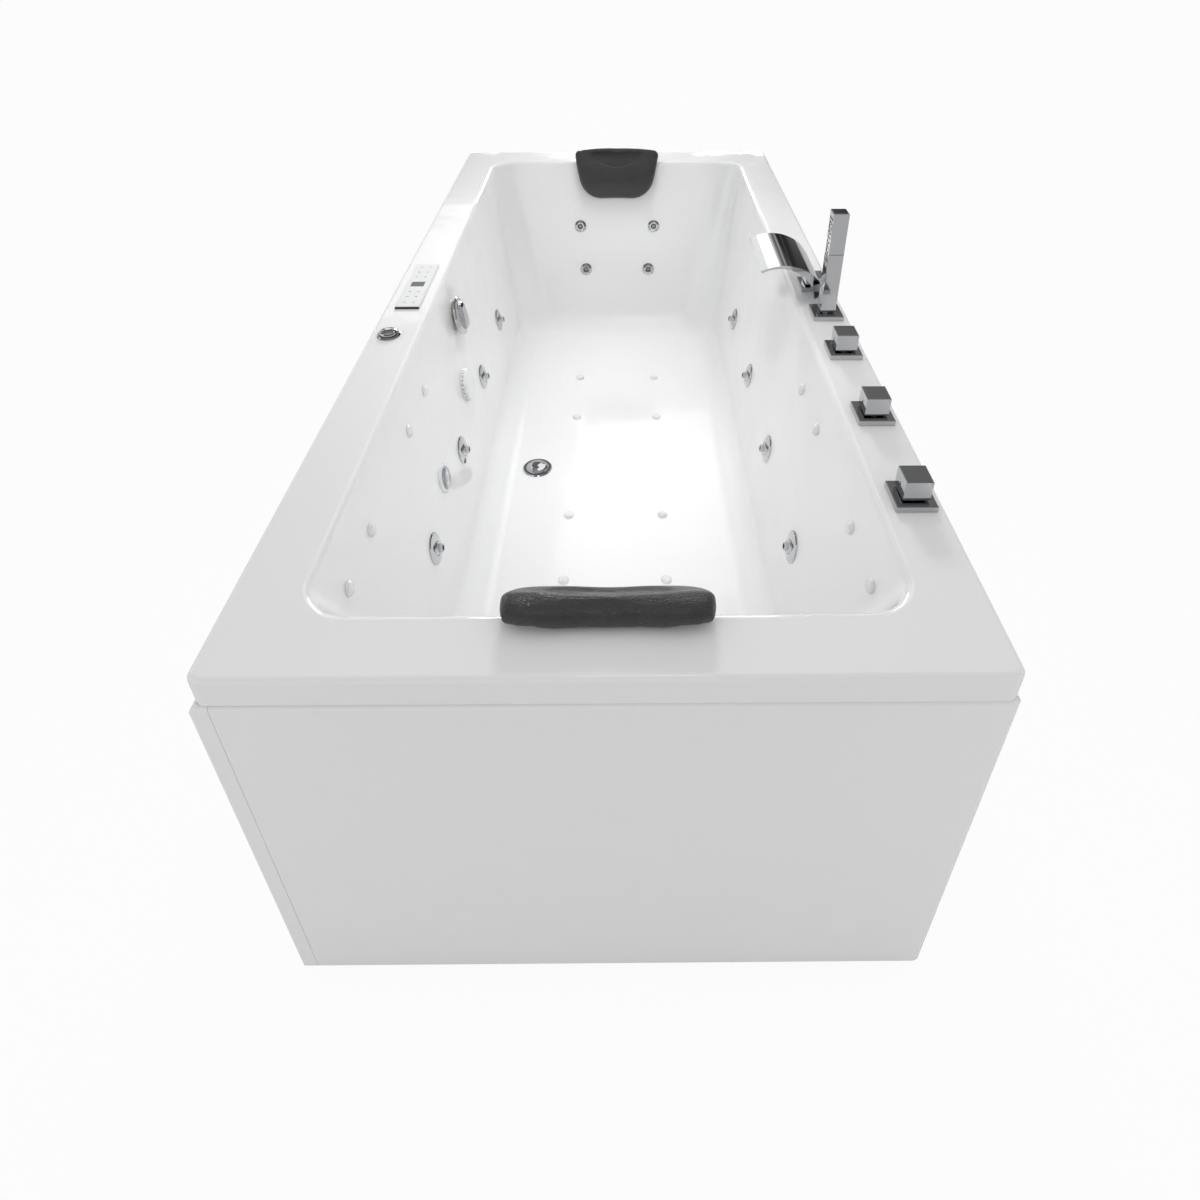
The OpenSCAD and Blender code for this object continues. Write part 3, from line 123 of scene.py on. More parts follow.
world = bpy.data.worlds.new("studio")
scene.world = world
world.use_nodes = True
sky = world.node_tree
sky_base = sky.nodes["Background"]
sky_base.inputs["Color"].default_value = WHITE
sky_base.inputs["Strength"].default_value = ROOM_LIGHT
sky_seen = add_node(sky, "Background", Color=ROOM_WHITE)
sky_polish = add_node(sky, "Background")
sky_rays = add_node(sky, "LightPath")
sky_place = add_node(sky, "TexCoord")
sky_split = add_node(sky, "SeparateXYZ")


def sky_ramp(axis, stops):
    ramp = add_node(sky, "ValToRGB")
    while len(ramp.color_ramp.elements) < len(stops):
        ramp.color_ramp.elements.new(0.5)
    for stop, (place, grey) in zip(ramp.color_ramp.elements, stops):
        stop.position = place
        stop.color = (grey, grey, grey, 1.0)
    join(sky, (sky_split, axis, ramp, 0))
    return ramp


wall_ramp = sky_ramp("Z", WALL_STOPS)
ceiling_ramp = sky_ramp("Z", CEILING_STOPS)
ceiling_start = sky_ramp("Z", CEILING_START)
stand_ramp = sky_ramp("X", STAND_STOPS)
sky_walls = add_node(sky, "Mix")
sky_walls.data_type = "RGBA"
sky_walls.blend_type = "MULTIPLY"
sky_walls.inputs["Factor"].default_value = 1.0
sky_room = add_node(sky, "Mix")
sky_room.data_type = "RGBA"
polish_mix = add_node(sky, "MixShader")
camera_mix = add_node(sky, "MixShader")
join(sky,
     (sky_place, "Generated", sky_split, 0),
     (wall_ramp, "Color", sky_walls, "A"),
     (stand_ramp, "Color", sky_walls, "B"),
     (ceiling_start, "Color", sky_room, "Factor"),
     (sky_walls, "Result", sky_room, "A"),
     (ceiling_ramp, "Color", sky_room, "B"),
     (sky_room, "Result", sky_polish, "Color"),
     (sky_rays, "Is Glossy Ray", polish_mix, 0),
     (sky_base, "Background", polish_mix, 1),
     (sky_polish, "Background", polish_mix, 2),
     (sky_rays, "Is Camera Ray", camera_mix, 0),
     (polish_mix, "Shader", camera_mix, 1),
     (sky_seen, "Background", camera_mix, 2),
     (camera_mix, "Shader", sky.nodes["World Output"], "Surface"))

# Soft boxes: a gridded one over the basin, a gridded one past the far end that throws the
# near pillow's shadow on the rim, and two weak ones at the near corners. The sheet and the
# strips light nothing: they only show as bright patches in the acrylic, chrome and skin.
OPEN = 180.0
# name, place, target, width, length, watts, spread in degrees
LAMPS = (
    ("basin_box", (0.0, 0.20, 2.2), (0.0, 0.20, 0.2), 0.32, 1.15, 1.2, 40.0),
    ("far_box", (0.1, 3.4, 2.3), (0.0, -0.7, 0.55), 1.0, 0.6, 4.4, 50.0),
    ("left_box", (-1.5, -2.0, 1.2), (-0.42, -0.86, 0.35), 0.5, 0.5, 0.2, 50.0),
    ("right_box", (1.5, -2.0, 1.2), (0.42, -0.86, 0.35), 0.5, 0.5, 0.2, 50.0),
    ("patch_sheet", (0.235, 3.55, 3.0), (0.235, 3.55, 0.0), 1.23, 4.1, 19.0, OPEN),
    ("edge_strip", (0.05, -1.25, 3.0), (0.05, -0.85, 0.58), 0.5, 0.3, 2.0, OPEN),
    ("far_strip", (0.0, 5.0, 1.5), (0.0, 0.0, 0.6), 2.4, 0.5, 80.0, OPEN),
    ("left_strip", (-3.0, -0.6, 1.2), (0.0, -0.6, 0.5), 1.2, 0.3, 1.5, OPEN),
    ("right_strip", (3.0, -0.6, 1.2), (0.0, -0.6, 0.5), 1.2, 0.3, 3.0, OPEN))
for name, place, target, width, length, power, spread in LAMPS:
    lamp = bpy.data.lights.new(name, "AREA")
    lamp.shape = "RECTANGLE"
    lamp.size = width
    lamp.size_y = length
    lamp.energy = power
    lamp.spread = math.radians(spread)
    box = bpy.data.objects.new(name, lamp)
    scene.collection.objects.link(box)
    box.location = place
    aim = Vector(target) - Vector(place)
    box.rotation_euler = aim.to_track_quat("-Z", "Y").to_euler()
    box.visible_camera = False
    box.visible_diffuse = name.endswith("_box")
    box.visible_glossy = name not in ("basin_box", "far_box")

# Camera: it looks down the tub's length from above the near end, as the photograph does.
# Its place, lens and shift were fitted to the corners of the rim and of the near panel.
EYE_PLACE = (0.01677, -1.34493, 1.22173)
EYE_TILT_DOWN = 31.97
EYE_TURN = -0.007
eye = bpy.data.cameras.new("photo_view")
eye.lens = 24.27
eye.sensor_width = 36.0
eye.shift_x = -0.0239
eye.shift_y = -0.1846
camera = bpy.data.objects.new("photo_view", eye)
scene.collection.objects.link(camera)
camera.location = EYE_PLACE
camera.rotation_euler = (math.radians(90 - EYE_TILT_DOWN), 0.0, EYE_TURN)
scene.camera = camera

# Tub shell: one vacuum-formed sheet of gloss white acrylic, backed with resin. Basin, rim
# and lip are one moulding that rests on the board and the frame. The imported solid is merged
# and smoothed, so that its rolls and corners run unbroken.
MM = 0.001
WELD = 0.01 * MM
SLIVER = 0.001 * MM
CREASE = 30.0
ACRYLIC_IOR = 1.55
MOTTLE_INPUTS = {"Light": "Color", "Dark": "Color", "Scale": "Float", "Smooth": "Float",
                 "Rough": "Float", "Relief": "Float", "Relief Scale": "Float"}
MOTTLE_OUTPUTS = {"Color": "Color", "Roughness": "Float", "Height": "Float"}


def mottle_group():
    group = bpy.data.node_groups.new("mottle", "ShaderNodeTree")
    for way, sockets in (("INPUT", MOTTLE_INPUTS), ("OUTPUT", MOTTLE_OUTPUTS)):
        for name, kind in sockets.items():
            group.interface.new_socket(name, in_out=way, socket_type="NodeSocket" + kind)
    given = group.nodes.new("NodeGroupInput")
    result = group.nodes.new("NodeGroupOutput")
    place = add_node(group, "TexCoord")
    cloud = add_node(group, "TexNoise", Detail=4.0, Roughness=0.6)
    tint = add_node(group, "Mix")
    tint.data_type = "RGBA"
    polish = add_node(group, "MapRange")
    grain = add_node(group, "TexNoise", Detail=2.0)
    lift = add_node(group, "Math")
    lift.operation = "MULTIPLY"
    join(group,
         (place, "Object", cloud, "Vector"),
         (given, "Scale", cloud, "Scale"),
         (cloud, "Fac", tint, "Factor"),
         (given, "Light", tint, "A"),
         (given, "Dark", tint, "B"),
         (cloud, "Fac", polish, "Value"),
         (given, "Smooth", polish, "To Min"),
         (given, "Rough", polish, "To Max"),
         (place, "Object", grain, "Vector"),
         (given, "Relief Scale", grain, "Scale"),
         (grain, "Fac", lift, 0),
         (given, "Relief", lift, 1),
         (tint, "Result", result, "Color"),
         (polish, "Result", result, "Roughness"),
         (lift, "Value", result, "Height"))
    return group


MOTTLE = mottle_group()


def mottled(name, light, dark, scale, smooth, rough, relief, relief_scale, metallic=0.0):
    made, tree, shader = new_material(name, light, smooth, metallic)
    effect = tree.nodes.new("ShaderNodeGroup")
    effect.node_tree = MOTTLE
    values = (light, dark, scale, smooth, rough, relief, relief_scale)
    for socket, value in zip(MOTTLE_INPUTS, values):
        effect.inputs[socket].default_value = value
    bump = add_node(tree, "Bump", Strength=1.0, Distance=MM)
    join(tree,
         (effect, "Color", shader, "Base Color"),
         (effect, "Roughness", shader, "Roughness"),
         (effect, "Height", bump, "Height"),
         (bump, "Normal", shader, "Normal"))
    return made


def shade_smooth(piece):
    piece.data.polygons.foreach_set("use_smooth", [True] * len(piece.data.polygons))


def merged_copy(node, name):
    shape = bmesh.new()
    shape.from_mesh(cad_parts[node].data)
    bmesh.ops.remove_doubles(shape, verts=shape.verts, dist=WELD)
    bmesh.ops.dissolve_degenerate(shape, edges=shape.edges, dist=SLIVER)
    return mesh_object(name, shape)


def moulded_copy(node, name, material):
    made = merged_copy(node, name)
    shade_smooth(made)
    made.data.set_sharp_from_angle(angle=math.radians(CREASE))
    even = made.modifiers.new("even_normals", "WEIGHTED_NORMAL")
    even.keep_sharp = True
    even.weight = 100
    dress(made, material)
    return made


acrylic = mottled("gloss_acrylic", light=(0.90, 0.90, 0.90, 1), dark=(0.885, 0.887, 0.89, 1),
                  scale=2.2, smooth=0.03, rough=0.06, relief=2.0, relief_scale=6.0)
acrylic_shader = acrylic.node_tree.nodes["Principled BSDF"]
acrylic_shader.inputs["IOR"].default_value = ACRYLIC_IOR
shell = moulded_copy("tub_shell", "acrylic_shell", acrylic)
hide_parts("tub_shell")
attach(shell, "tub")

# Side panels: four trays of the same gloss acrylic with turned-in edges, one to each side.
# They clip onto grey catches on the frame's posts and end rails, under the rim's lip.
for panel in ("panel_near", "panel_far", "panel_left", "panel_right"):
    cover = moulded_copy(panel, panel + "_cover", acrylic)
    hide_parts(panel)
    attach(cover, "tub")

# Base frame: galvanised square tube round and under the basin, with the pressed board
# bonded under its floor. It stands on black moulded levelling feet, screwed into the side
# rails; the panels' catches are grey mouldings and the headrests' studs black ones.
galvanised = mottled("galvanised_tube", light=(0.55, 0.56, 0.57, 1), dark=(0.40, 0.41, 0.43, 1),
                     scale=60.0, smooth=0.32, rough=0.50, relief=0.10, relief_scale=220.0,
                     metallic=1.0)
pressed_board = mottled("pressed_board", light=(0.50, 0.37, 0.23, 1), dark=(0.30, 0.20, 0.11, 1),
                        scale=180.0, smooth=0.65, rough=0.85, relief=0.30, relief_scale=320.0)
black_moulding = mottled("black_moulding", light=(0.020, 0.020, 0.021, 1),
                         dark=(0.035, 0.035, 0.036, 1), scale=90.0, smooth=0.38, rough=0.55,
                         relief=0.06, relief_scale=500.0)
grey_moulding = mottled("grey_moulding", light=(0.22, 0.225, 0.23, 1), dark=(0.17, 0.175, 0.18, 1),
                        scale=90.0, smooth=0.40, rough=0.55, relief=0.06, relief_scale=500.0)
for node, material in (("frame_side_rails", galvanised), ("frame_cross_rails", galvanised),
                       ("frame_posts", galvanised), ("base_board", pressed_board),
                       ("levelling_feet", black_moulding), ("panel_catches", grey_moulding),
                       ("headrest_studs", black_moulding)):
    dress(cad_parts[node], material)

# Headrests: soft polyurethane foam with a dark grained skin, one at each end of the tub,
# pushed onto two studs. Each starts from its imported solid, swells a little, and gets the
# eye-shaped scoop for the neck and the bow of its front edge.
END_LEAN = math.radians(21.728)
RIM_TOP = 0.580
RIM_INNER = {-1: 0.770, 1: 0.754}
SKIN_VOXEL = 0.0045
SWELL = 0.002
SWELL_PRESSURE = 4.0
SWELL_STEPS = 20
EYE_HALF = 0.073
EYE_LEVEL = {-1: 0.001, 1: 0.014}
EYE_RISE = 0.010
EYE_DROP = 0.032
EYE_DEEP = 0.007
EYE_EDGE = 0.004
EYE_FRONT = 0.020
HALF_WIDTH = 0.117
WIDTH_TRIM = 0.975
HEEL_SQUARE = 0.014
HEEL_FOOT = 0.003
HEEL_START = 0.768
HEEL_FADE = 0.012
FRONT_BOW = 0.016
FRONT_UP = 0.025
FRONT_END = 0.775
FRONT_FADE = 0.035
CROWN_RISE = {-1: 0.0, 1: 0.007}
CROWN_START = 0.010
CROWN_FADE = 0.015


def ease(value):
    share = min(max(value, 0.0), 1.0)
    return share * share * (3 - 2 * share)


def apply_modifiers(piece):
    bpy.context.view_layer.update()
    view = bpy.context.evaluated_depsgraph_get()
    baked = bpy.data.meshes.new_from_object(piece.evaluated_get(view))
    piece.modifiers.clear()
    piece.data = baked


def remesh(piece):
    cut = piece.modifiers.new("even_mesh", "REMESH")
    cut.mode = "VOXEL"
    cut.voxel_size = SKIN_VOXEL
    apply_modifiers(piece)


def swell(piece):
    before = [v.co.copy() for v in piece.data.vertices]
    cloth = piece.modifiers.new("skin", "CLOTH")
    cloth.settings.use_pressure = True
    cloth.settings.uniform_pressure_force = SWELL_PRESSURE
    cloth.settings.effector_weights.gravity = 0.0
    for step in range(1, SWELL_STEPS + 1):
        scene.frame_set(step)
    view = bpy.context.evaluated_depsgraph_get()
    after = [v.co.copy() for v in piece.evaluated_get(view).data.vertices]
    piece.modifiers.clear()
    scene.frame_set(1)
    for vert, old, new in zip(piece.data.vertices, before, after):
        move = new - old
        if move.length > SWELL:
            move.length = SWELL
        vert.co = old + move


def even_skin(piece):
    even = piece.modifiers.new("even_skin", "SMOOTH")
    even.factor = 0.5
    even.iterations = 5
    finer = piece.modifiers.new("finer", "SUBSURF")
    finer.levels = 1
    finer.render_levels = 1
    apply_modifiers(piece)


def wall_frame(end):
    run, fall = math.sin(END_LEAN), math.cos(END_LEAN)
    up = Vector((0, end * run, fall))
    out = Vector((0, -end * fall, run))
    across = up.cross(out) if end > 0 else out.cross(up)
    turn = Matrix((across, up, out)).transposed().to_4x4()
    return Matrix.Translation(Vector((0, end * RIM_INNER[end], RIM_TOP))) @ turn


def carve_eye(piece, end):
    piece.data.transform(wall_frame(end).inverted())
    for vert in piece.data.vertices:
        across, up, out = vert.co
        span = 1 - (across / EYE_HALF) ** 2
        if span > 0 and out > EYE_FRONT:
            above_low = up - (EYE_LEVEL[end] - EYE_DROP * span)
            below_high = EYE_LEVEL[end] + EYE_RISE * span - up
            edges = ease(above_low / EYE_EDGE) * ease(below_high / EYE_EDGE)
            vert.co.z = out - EYE_DEEP * edges * math.sqrt(span)
    piece.data.transform(wall_frame(end))


def shape_heel(piece, end):
    for vert in piece.data.vertices:
        share = min(abs(vert.co.x) / HALF_WIDTH, 1.0)
        above = vert.co.z - RIM_TOP
        reach = end * vert.co.y
        heel = ease((above + HEEL_FOOT) / HEEL_FOOT) * ease((reach - HEEL_START) / HEEL_FADE)
        front = ease(above / FRONT_UP) * ease((FRONT_END - reach) / FRONT_FADE)
        crown = ease((above - CROWN_START) / CROWN_FADE)
        bow = HEEL_SQUARE * share ** 2 * heel + FRONT_BOW * (1 - share ** 2) * front
        vert.co.y += end * bow
        vert.co.z += CROWN_RISE[end] * (1 - share ** 2) * crown
        vert.co.x *= WIDTH_TRIM


SKIN_GREY = (0.030, 0.030, 0.032, 1)
SKIN_DARK = (0.018, 0.018, 0.019, 1)
SKIN_PALE = (0.040, 0.039, 0.040, 1)
SKIN_ROUGH = 0.5
SKIN_SHEEN = 0.08
SKIN_IOR = 1.65
GRAIN_WARP = 0.0012
GRAIN_SHARE = 0.5
skin, skin_tree, skin_shader = new_material("grained_skin", SKIN_GREY, SKIN_ROUGH)
skin_shader.inputs["Sheen Weight"].default_value = SKIN_SHEEN
skin_shader.inputs["IOR"].default_value = SKIN_IOR
skin_place = add_node(skin_tree, "TexCoord")
skin_cells = add_node(skin_tree, "TexVoronoi", Scale=330.0)
skin_cells.feature = "DISTANCE_TO_EDGE"
skin_noise = add_node(skin_tree, "TexNoise", Scale=520.0, Detail=3.0)
skin_cloud = add_node(skin_tree, "TexNoise", Scale=40.0)
skin_warp = add_node(skin_tree, "Mix")
skin_warp.data_type = "VECTOR"
skin_warp.inputs["Factor"].default_value = GRAIN_WARP
skin_edge = add_node(skin_tree, "MapRange", From_Max=0.16)
skin_height = add_node(skin_tree, "Math")
skin_height.operation = "MULTIPLY_ADD"
skin_height.inputs[1].default_value = GRAIN_SHARE
skin_bump = add_node(skin_tree, "Bump", Strength=0.75, Distance=0.8 * MM)
skin_tint = add_node(skin_tree, "Mix")
skin_tint.data_type = "RGBA"
skin_tint.inputs["A"].default_value = SKIN_DARK
skin_tint.inputs["B"].default_value = SKIN_PALE
skin_gloss = add_node(skin_tree, "MapRange", To_Min=0.42, To_Max=0.30)
join(skin_tree,
     (skin_place, "Object", skin_warp, "A"),
     (skin_noise, "Color", skin_warp, "B"),
     (skin_place, "Object", skin_noise, "Vector"),
     (skin_place, "Object", skin_cloud, "Vector"),
     (skin_warp, "Result", skin_cells, "Vector"),
     (skin_cells, "Distance", skin_edge, "Value"),
     (skin_noise, "Fac", skin_height, 0),
     (skin_edge, "Result", skin_height, 2),
     (skin_height, "Value", skin_bump, "Height"),
     (skin_bump, "Normal", skin_shader, "Normal"),
     (skin_cloud, "Fac", skin_tint, "Factor"),
     (skin_tint, "Result", skin_shader, "Base Color"),
     (skin_edge, "Result", skin_gloss, "Value"),
     (skin_gloss, "Result", skin_shader, "Roughness"))

for name, end in (("headrest_near", -1), ("headrest_far", 1)):
    pillow = merged_copy(name, name + "_pillow")
    remesh(pillow)
    swell(pillow)
    even_skin(pillow)
    carve_eye(pillow, end)
    shape_heel(pillow, end)
    shade_smooth(pillow)
    dress(pillow, skin)
    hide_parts(name)
    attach(pillow, "tub")

# Chrome trim: waste, overflow knob, jet rings, air knob and everything on the tap deck.
# All are brass, polished and plated, and screwed or clamped through the shell; their imported
# shapes stay as they are and take this finish.
chrome = mottled("polished_chrome", light=(0.58, 0.585, 0.595, 1), dark=(0.54, 0.545, 0.56, 1),
                 scale=35.0, smooth=0.035, rough=0.075, relief=0.02, relief_scale=60.0,
                 metallic=1.0)
for node in ("drain_flange", "drain_plug", "overflow_knob", "side_jet_bezels",
             "back_jet_bezels", "air_control_base", "air_control_knob", "tap_bases",
             "handle_cold", "handle_hot", "handle_diverter", "spout", "hand_shower"):
    dress(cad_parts[node], chrome)

# Turn marks: a small dot of enamel let into the left face of each cube handle, blue for
# cold and red for the hot tap and the diverter. Each turns with its handle.
DOT_RADIUS = 0.0021
DOT_DOME = 0.0006
DOT_BELOW_TOP = 0.01456


def enamel_dot(handle, body, enamel):
    low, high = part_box(handle)
    shape = bmesh.new()
    bmesh.ops.create_uvsphere(shape, u_segments=24, v_segments=12, radius=DOT_RADIUS)
    bmesh.ops.scale(shape, verts=shape.verts, vec=(DOT_DOME / DOT_RADIUS, 1.0, 1.0))
    spot = Vector((low[0] + DOT_DOME, (low[1] + high[1]) / 2, high[2] - DOT_BELOW_TOP))
    bmesh.ops.translate(shape, verts=shape.verts, vec=spot)
    dot = mesh_object(handle + "_dot", shape)
    shade_smooth(dot)
    dress(dot, enamel)
    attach(dot, body)


blue_enamel = mottled("blue_enamel", light=(0.02, 0.09, 0.55, 1), dark=(0.016, 0.075, 0.47, 1),
                      scale=900.0, smooth=0.12, rough=0.20, relief=0.02, relief_scale=1200.0)
red_enamel = mottled("red_enamel", light=(0.62, 0.02, 0.06, 1), dark=(0.54, 0.017, 0.05, 1),
                     scale=900.0, smooth=0.12, rough=0.20, relief=0.02, relief_scale=1200.0)
enamel_dot("handle_cold", "cold", blue_enamel)
enamel_dot("handle_hot", "hot", red_enamel)
enamel_dot("handle_diverter", "diverter", red_enamel)

# Hand shower seam: the bar is a plated grip and head pressed together. The shade in their
# joint is painted on as a fine near-black strip round the front, the right side and the back.
# The left side is the spray face, which has none.
SEAM_SHARE = 0.62
SEAM_HEIGHT = 0.0007
SEAM_PROUD = 0.00012
SEAM_CORNER = 0.0011
SEAM_LEFT_OPEN = 0.001
bar_low, bar_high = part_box("hand_shower")
bar_half = (bar_high[0] - bar_low[0]) / 2
seam_shape = bmesh.new()
bmesh.ops.create_circle(seam_shape, cap_ends=False, segments=4,
                        radius=(bar_half + SEAM_PROUD) * math.sqrt(2))
bmesh.ops.rotate(seam_shape, verts=seam_shape.verts,
                 matrix=Matrix.Rotation(math.radians(45), 3, "Z"))
lifted = bmesh.ops.extrude_edge_only(seam_shape, edges=seam_shape.edges[:])
lifted_verts = [item for item in lifted["geom"] if isinstance(item, bmesh.types.BMVert)]
bmesh.ops.translate(seam_shape, verts=lifted_verts, vec=(0, 0, SEAM_HEIGHT))
upright = [edge for edge in seam_shape.edges
           if abs(edge.verts[0].co.z - edge.verts[1].co.z) > SEAM_HEIGHT / 2]
bmesh.ops.bevel(seam_shape, geom=upright, offset=SEAM_CORNER, segments=3, profile=0.5,
                affect="EDGES", material=-1)
spray_side = [face for face in seam_shape.faces
              if face.calc_center_median().x < SEAM_LEFT_OPEN - bar_half]
bmesh.ops.delete(seam_shape, geom=spray_side, context="FACES")
bmesh.ops.recalc_face_normals(seam_shape, faces=seam_shape.faces)
bmesh.ops.solidify(seam_shape, geom=seam_shape.faces[:], thickness=2 * SEAM_PROUD)
seam_z = RIM_TOP + (bar_high[2] - RIM_TOP) * SEAM_SHARE
seam_spot = ((bar_low[0] + bar_high[0]) / 2, (bar_low[1] + bar_high[1]) / 2, seam_z)
bmesh.ops.translate(seam_shape, verts=seam_shape.verts, vec=seam_spot)
seam = mesh_object("shower_seam", seam_shape)
# The strip's near-black colour is painted shade, standing for the shadow in the joint.
seam_painted_shade = mottled("seam_shadow", light=(0.03, 0.03, 0.032, 1), dark=(0.02, 0.02, 0.022, 1),
                    scale=300.0, smooth=0.45, rough=0.60, relief=0.03, relief_scale=900.0)
dress(seam, seam_painted_shade)
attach(seam, "shower")

# Jet nozzles: small swivelling eyes held in the polished rings.
# They are moulded and have a thin satin chrome skin, and each tilts on its own ball.
satin_chrome = mottled("satin_chrome", light=(0.62, 0.63, 0.64, 1), dark=(0.54, 0.55, 0.56, 1),
                       scale=200.0, smooth=0.16, rough=0.28, relief=0.03, relief_scale=700.0,
                       metallic=1.0)
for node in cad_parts:
    if "_nozzle_" in node:
        dress(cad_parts[node], satin_chrome)

# Air jets: low domed caps of pale grey moulding, in the floor and high on the walls.
# Each sits on a bead of sealant over its hole in the shell.
pale_moulding = mottled("pale_moulding", light=(0.84, 0.845, 0.85, 1), dark=(0.80, 0.805, 0.81, 1),
                        scale=120.0, smooth=0.08, rough=0.16, relief=0.03, relief_scale=500.0)
for node in ("floor_air_jets", "wall_air_jets"):
    dress(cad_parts[node], pale_moulding)

# White mouldings: the round suction cover, the keypad's case and the light's ring.
# They are plain injected plastic, a shade less glossy than the shell they are fixed to.
white_moulding = mottled("white_moulding", light=(0.84, 0.845, 0.85, 1),
                         dark=(0.80, 0.805, 0.81, 1), scale=40.0, smooth=0.14, rough=0.24,
                         relief=0.03, relief_scale=400.0)
for node in ("suction_cover", "control_panel", "light_housing"):
    dress(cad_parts[node], white_moulding)

# Light lens: a clear domed cap of polycarbonate over the lamp cup in the left wall.
# It is faintly worn, so its gloss isn't quite even.
LENS_CLEAR = 0.8
LENS_IOR = 1.49
lens = mottled("clear_lens", light=(0.93, 0.96, 0.98, 1), dark=(0.90, 0.93, 0.95, 1),
               scale=40.0, smooth=0.04, rough=0.09, relief=0.04, relief_scale=200.0)
lens_shader = lens.node_tree.nodes["Principled BSDF"]
lens_shader.inputs["Transmission Weight"].default_value = LENS_CLEAR
lens_shader.inputs["IOR"].default_value = LENS_IOR
dress(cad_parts["light_lens"], lens)

# Keypad: a smoked window let into the white case, with a column of small touch marks on
# either side of it. The marks are plain rings, bars and dots in grey print.
MARK_ACROSS = 0.008
MARK_PLACES = (-0.074, -0.052, -0.031, 0.031, 0.052, 0.074)
MARK_KINDS = ("ring", "bar", "dot", "bar", "dot", "ring")
MARK_LIFT = 0.0001
RING_RADIUS = 0.0026
RING_BORE = 0.72
BAR_LONG = 0.0056
BAR_WIDE = 0.0016
SPOT_RADIUS = 0.0019
window = mottled("smoked_window", light=(0.09, 0.09, 0.095, 1), dark=(0.075, 0.075, 0.08, 1),
                 scale=60.0, smooth=0.08, rough=0.14, relief=0.02, relief_scale=300.0)
dress(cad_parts["control_display"], window)
window_low, window_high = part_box("control_display")
keypad_low, keypad_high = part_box("control_panel")


def printed_mark(shape, kind, place):
    if kind == "ring":
        made = bmesh.ops.create_circle(shape, cap_ends=False, segments=24, radius=RING_RADIUS)
        rim = [edge for edge in shape.edges if set(edge.verts) <= set(made["verts"])]
        inner = bmesh.ops.extrude_edge_only(shape, edges=rim)
        inside = [item for item in inner["geom"] if isinstance(item, bmesh.types.BMVert)]
        bmesh.ops.scale(shape, verts=inside, vec=(RING_BORE, RING_BORE, 1.0))
        verts = made["verts"] + inside
    elif kind == "bar":
        verts = bmesh.ops.create_grid(shape, x_segments=1, y_segments=1, size=0.5)["verts"]
        bmesh.ops.scale(shape, verts=verts, vec=(BAR_LONG, BAR_WIDE, 1.0))
    else:
        disc = bmesh.ops.create_circle(shape, cap_ends=True, segments=20, radius=SPOT_RADIUS)
        verts = disc["verts"]
    bmesh.ops.translate(shape, verts=verts, vec=place)


marks = bmesh.new()
middle_x = (window_low[0] + window_high[0]) / 2
middle_y = (window_low[1] + window_high[1]) / 2
mark_z = keypad_high[2] + MARK_LIFT
for reach, left_kind, right_kind in zip(MARK_PLACES, MARK_KINDS, reversed(MARK_KINDS)):
    for side, kind in ((-1, left_kind), (1, right_kind)):
        spot = Vector((middle_x + side * MARK_ACROSS, middle_y + reach, mark_z))
        printed_mark(marks, kind, spot)
bmesh.ops.recalc_face_normals(marks, faces=marks.faces)
for face in marks.faces:
    if face.normal.z < 0:
        face.normal_flip()
keypad_marks = mesh_object("keypad_marks", marks)
print_grey = mottled("mark_print", light=(0.22, 0.22, 0.23, 1), dark=(0.18, 0.18, 0.19, 1),
                     scale=900.0, smooth=0.40, rough=0.55, relief=0.03, relief_scale=1500.0)
dress(keypad_marks, print_grey)
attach(keypad_marks, "tub")

# Keypad end strip: a thin dark strip laid over the case's near end face, much darker than
# the case. Its outer edges are eased by a small bevel.
STRIP_HIGH = 0.0042
STRIP_DEEP = 0.0004
STRIP_SHORT = 0.001
STRIP_FOOT = 0.0003
STRIP_BEVEL = 0.6
strip_shape = bmesh.new()
bmesh.ops.create_grid(strip_shape, x_segments=1, y_segments=1, size=0.5)
bmesh.ops.scale(strip_shape, verts=strip_shape.verts,
                vec=(keypad_high[0] - keypad_low[0] - STRIP_SHORT, STRIP_HIGH, 1.0))
bmesh.ops.rotate(strip_shape, verts=strip_shape.verts,
                 matrix=Matrix.Rotation(math.radians(90), 3, "X"))
deep = bmesh.ops.extrude_face_region(strip_shape, geom=strip_shape.faces[:])
deep_verts = [item for item in deep["geom"] if isinstance(item, bmesh.types.BMVert)]
bmesh.ops.translate(strip_shape, verts=deep_verts, vec=(0, -STRIP_DEEP, 0))
front_edges = [edge for edge in strip_shape.edges
               if all(vert in deep_verts for vert in edge.verts)]
bmesh.ops.bevel(strip_shape, geom=front_edges, offset=STRIP_DEEP * STRIP_BEVEL, segments=2,
                profile=0.5, affect="EDGES", material=-1)
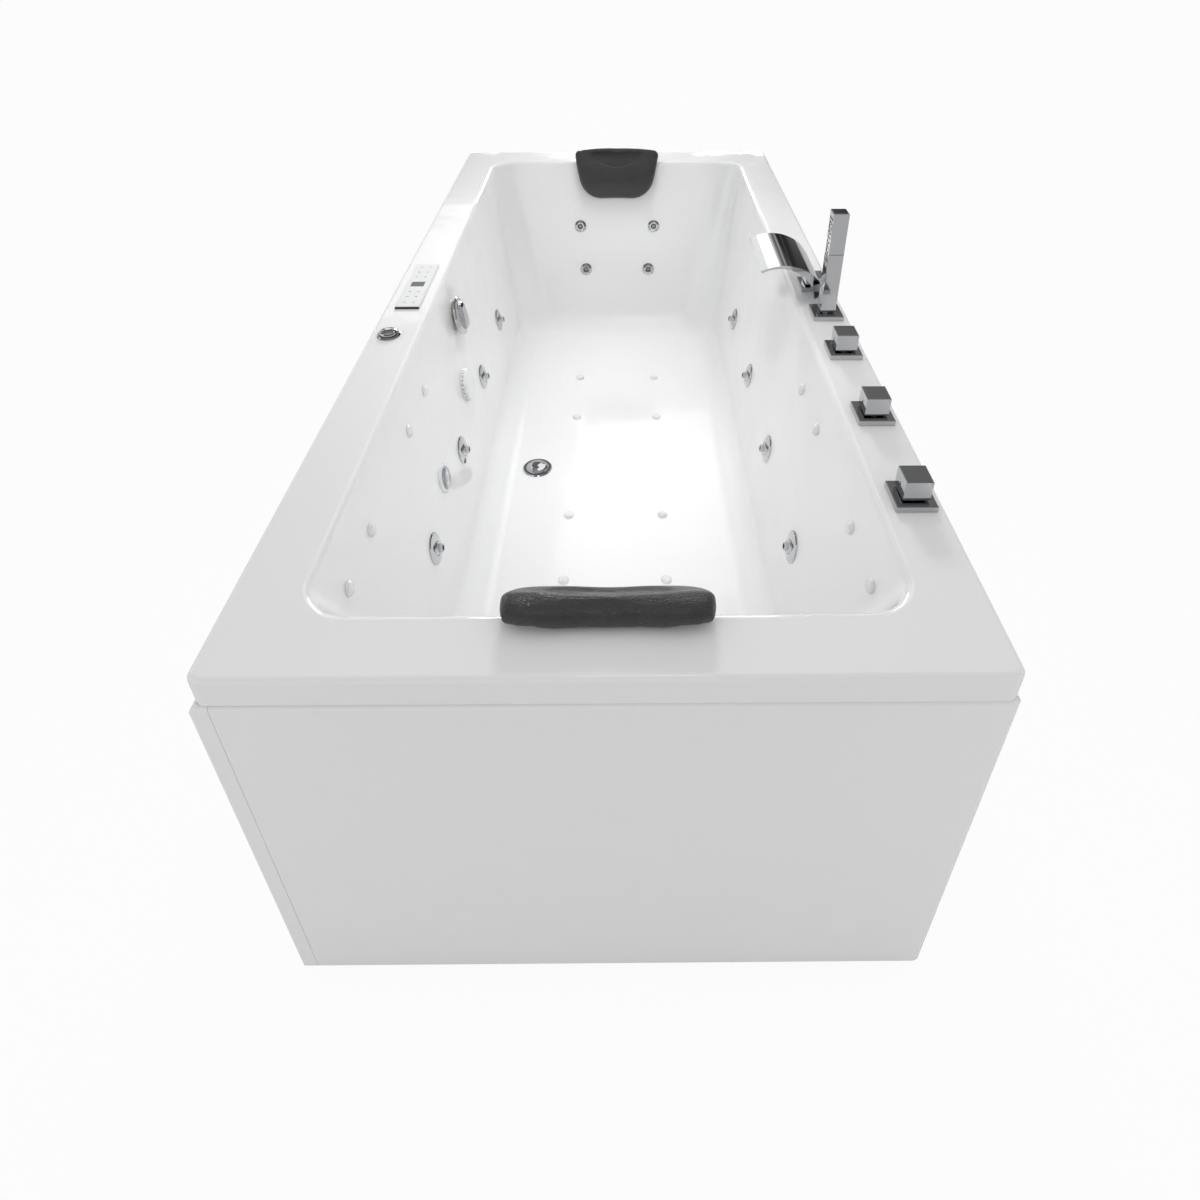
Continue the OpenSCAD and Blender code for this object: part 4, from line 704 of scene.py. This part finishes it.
bmesh.ops.recalc_face_normals(strip_shape, faces=strip_shape.faces)
strip_spot = ((keypad_low[0] + keypad_high[0]) / 2, keypad_low[1],
              RIM_TOP + STRIP_FOOT + STRIP_HIGH / 2)
bmesh.ops.translate(strip_shape, verts=strip_shape.verts, vec=strip_spot)
strip = mesh_object("keypad_strip", strip_shape)
dress(strip, black_moulding)
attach(strip, "tub")

# Pipes: white rigid plastic, hidden behind the walls and glued into the jet, suction and
# overflow bodies. The waste under the floor is a grey moulding.
pipe_white = mottled("pipe_plastic", light=(0.74, 0.74, 0.72, 1), dark=(0.68, 0.68, 0.66, 1),
                     scale=30.0, smooth=0.25, rough=0.38, relief=0.04, relief_scale=260.0)
for node in ("overflow_body", "overflow_pipe", "side_jet_bodies", "back_jet_bodies",
             "suction_body", "water_pipes", "suction_pipe", "air_pipes"):
    dress(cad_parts[node], pipe_white)
dress(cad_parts["drain_body"], grey_moulding)

# Tap manifold: the valve bodies under the deck and the pipe that links them.
# It is cast brass, left rough, and nuts under the rim clamp it to the deck.
brass = mottled("cast_brass", light=(0.62, 0.43, 0.17, 1), dark=(0.50, 0.33, 0.12, 1),
                scale=80.0, smooth=0.28, rough=0.45, relief=0.12, relief_scale=500.0,
                metallic=1.0)
dress(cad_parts["tap_manifold"], brass)

# Equipment on the two shelves: pump and motor at the far end, blower and control box at
# the near end. The wet end and the blower are black mouldings, the motor is painted metal
# and the control box is a grey plastic case.
motor_paint = mottled("motor_paint", light=(0.045, 0.05, 0.058, 1), dark=(0.06, 0.065, 0.072, 1),
                      scale=50.0, smooth=0.30, rough=0.45, relief=0.05, relief_scale=300.0)
box_plastic = mottled("box_plastic", light=(0.42, 0.43, 0.44, 1), dark=(0.38, 0.39, 0.40, 1),
                      scale=60.0, smooth=0.35, rough=0.5, relief=0.05, relief_scale=500.0)
for node, material in (("pump_wet_end", black_moulding), ("air_blower", black_moulding),
                       ("pump_motor", motor_paint), ("control_box", box_plastic)):
    dress(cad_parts[node], material)
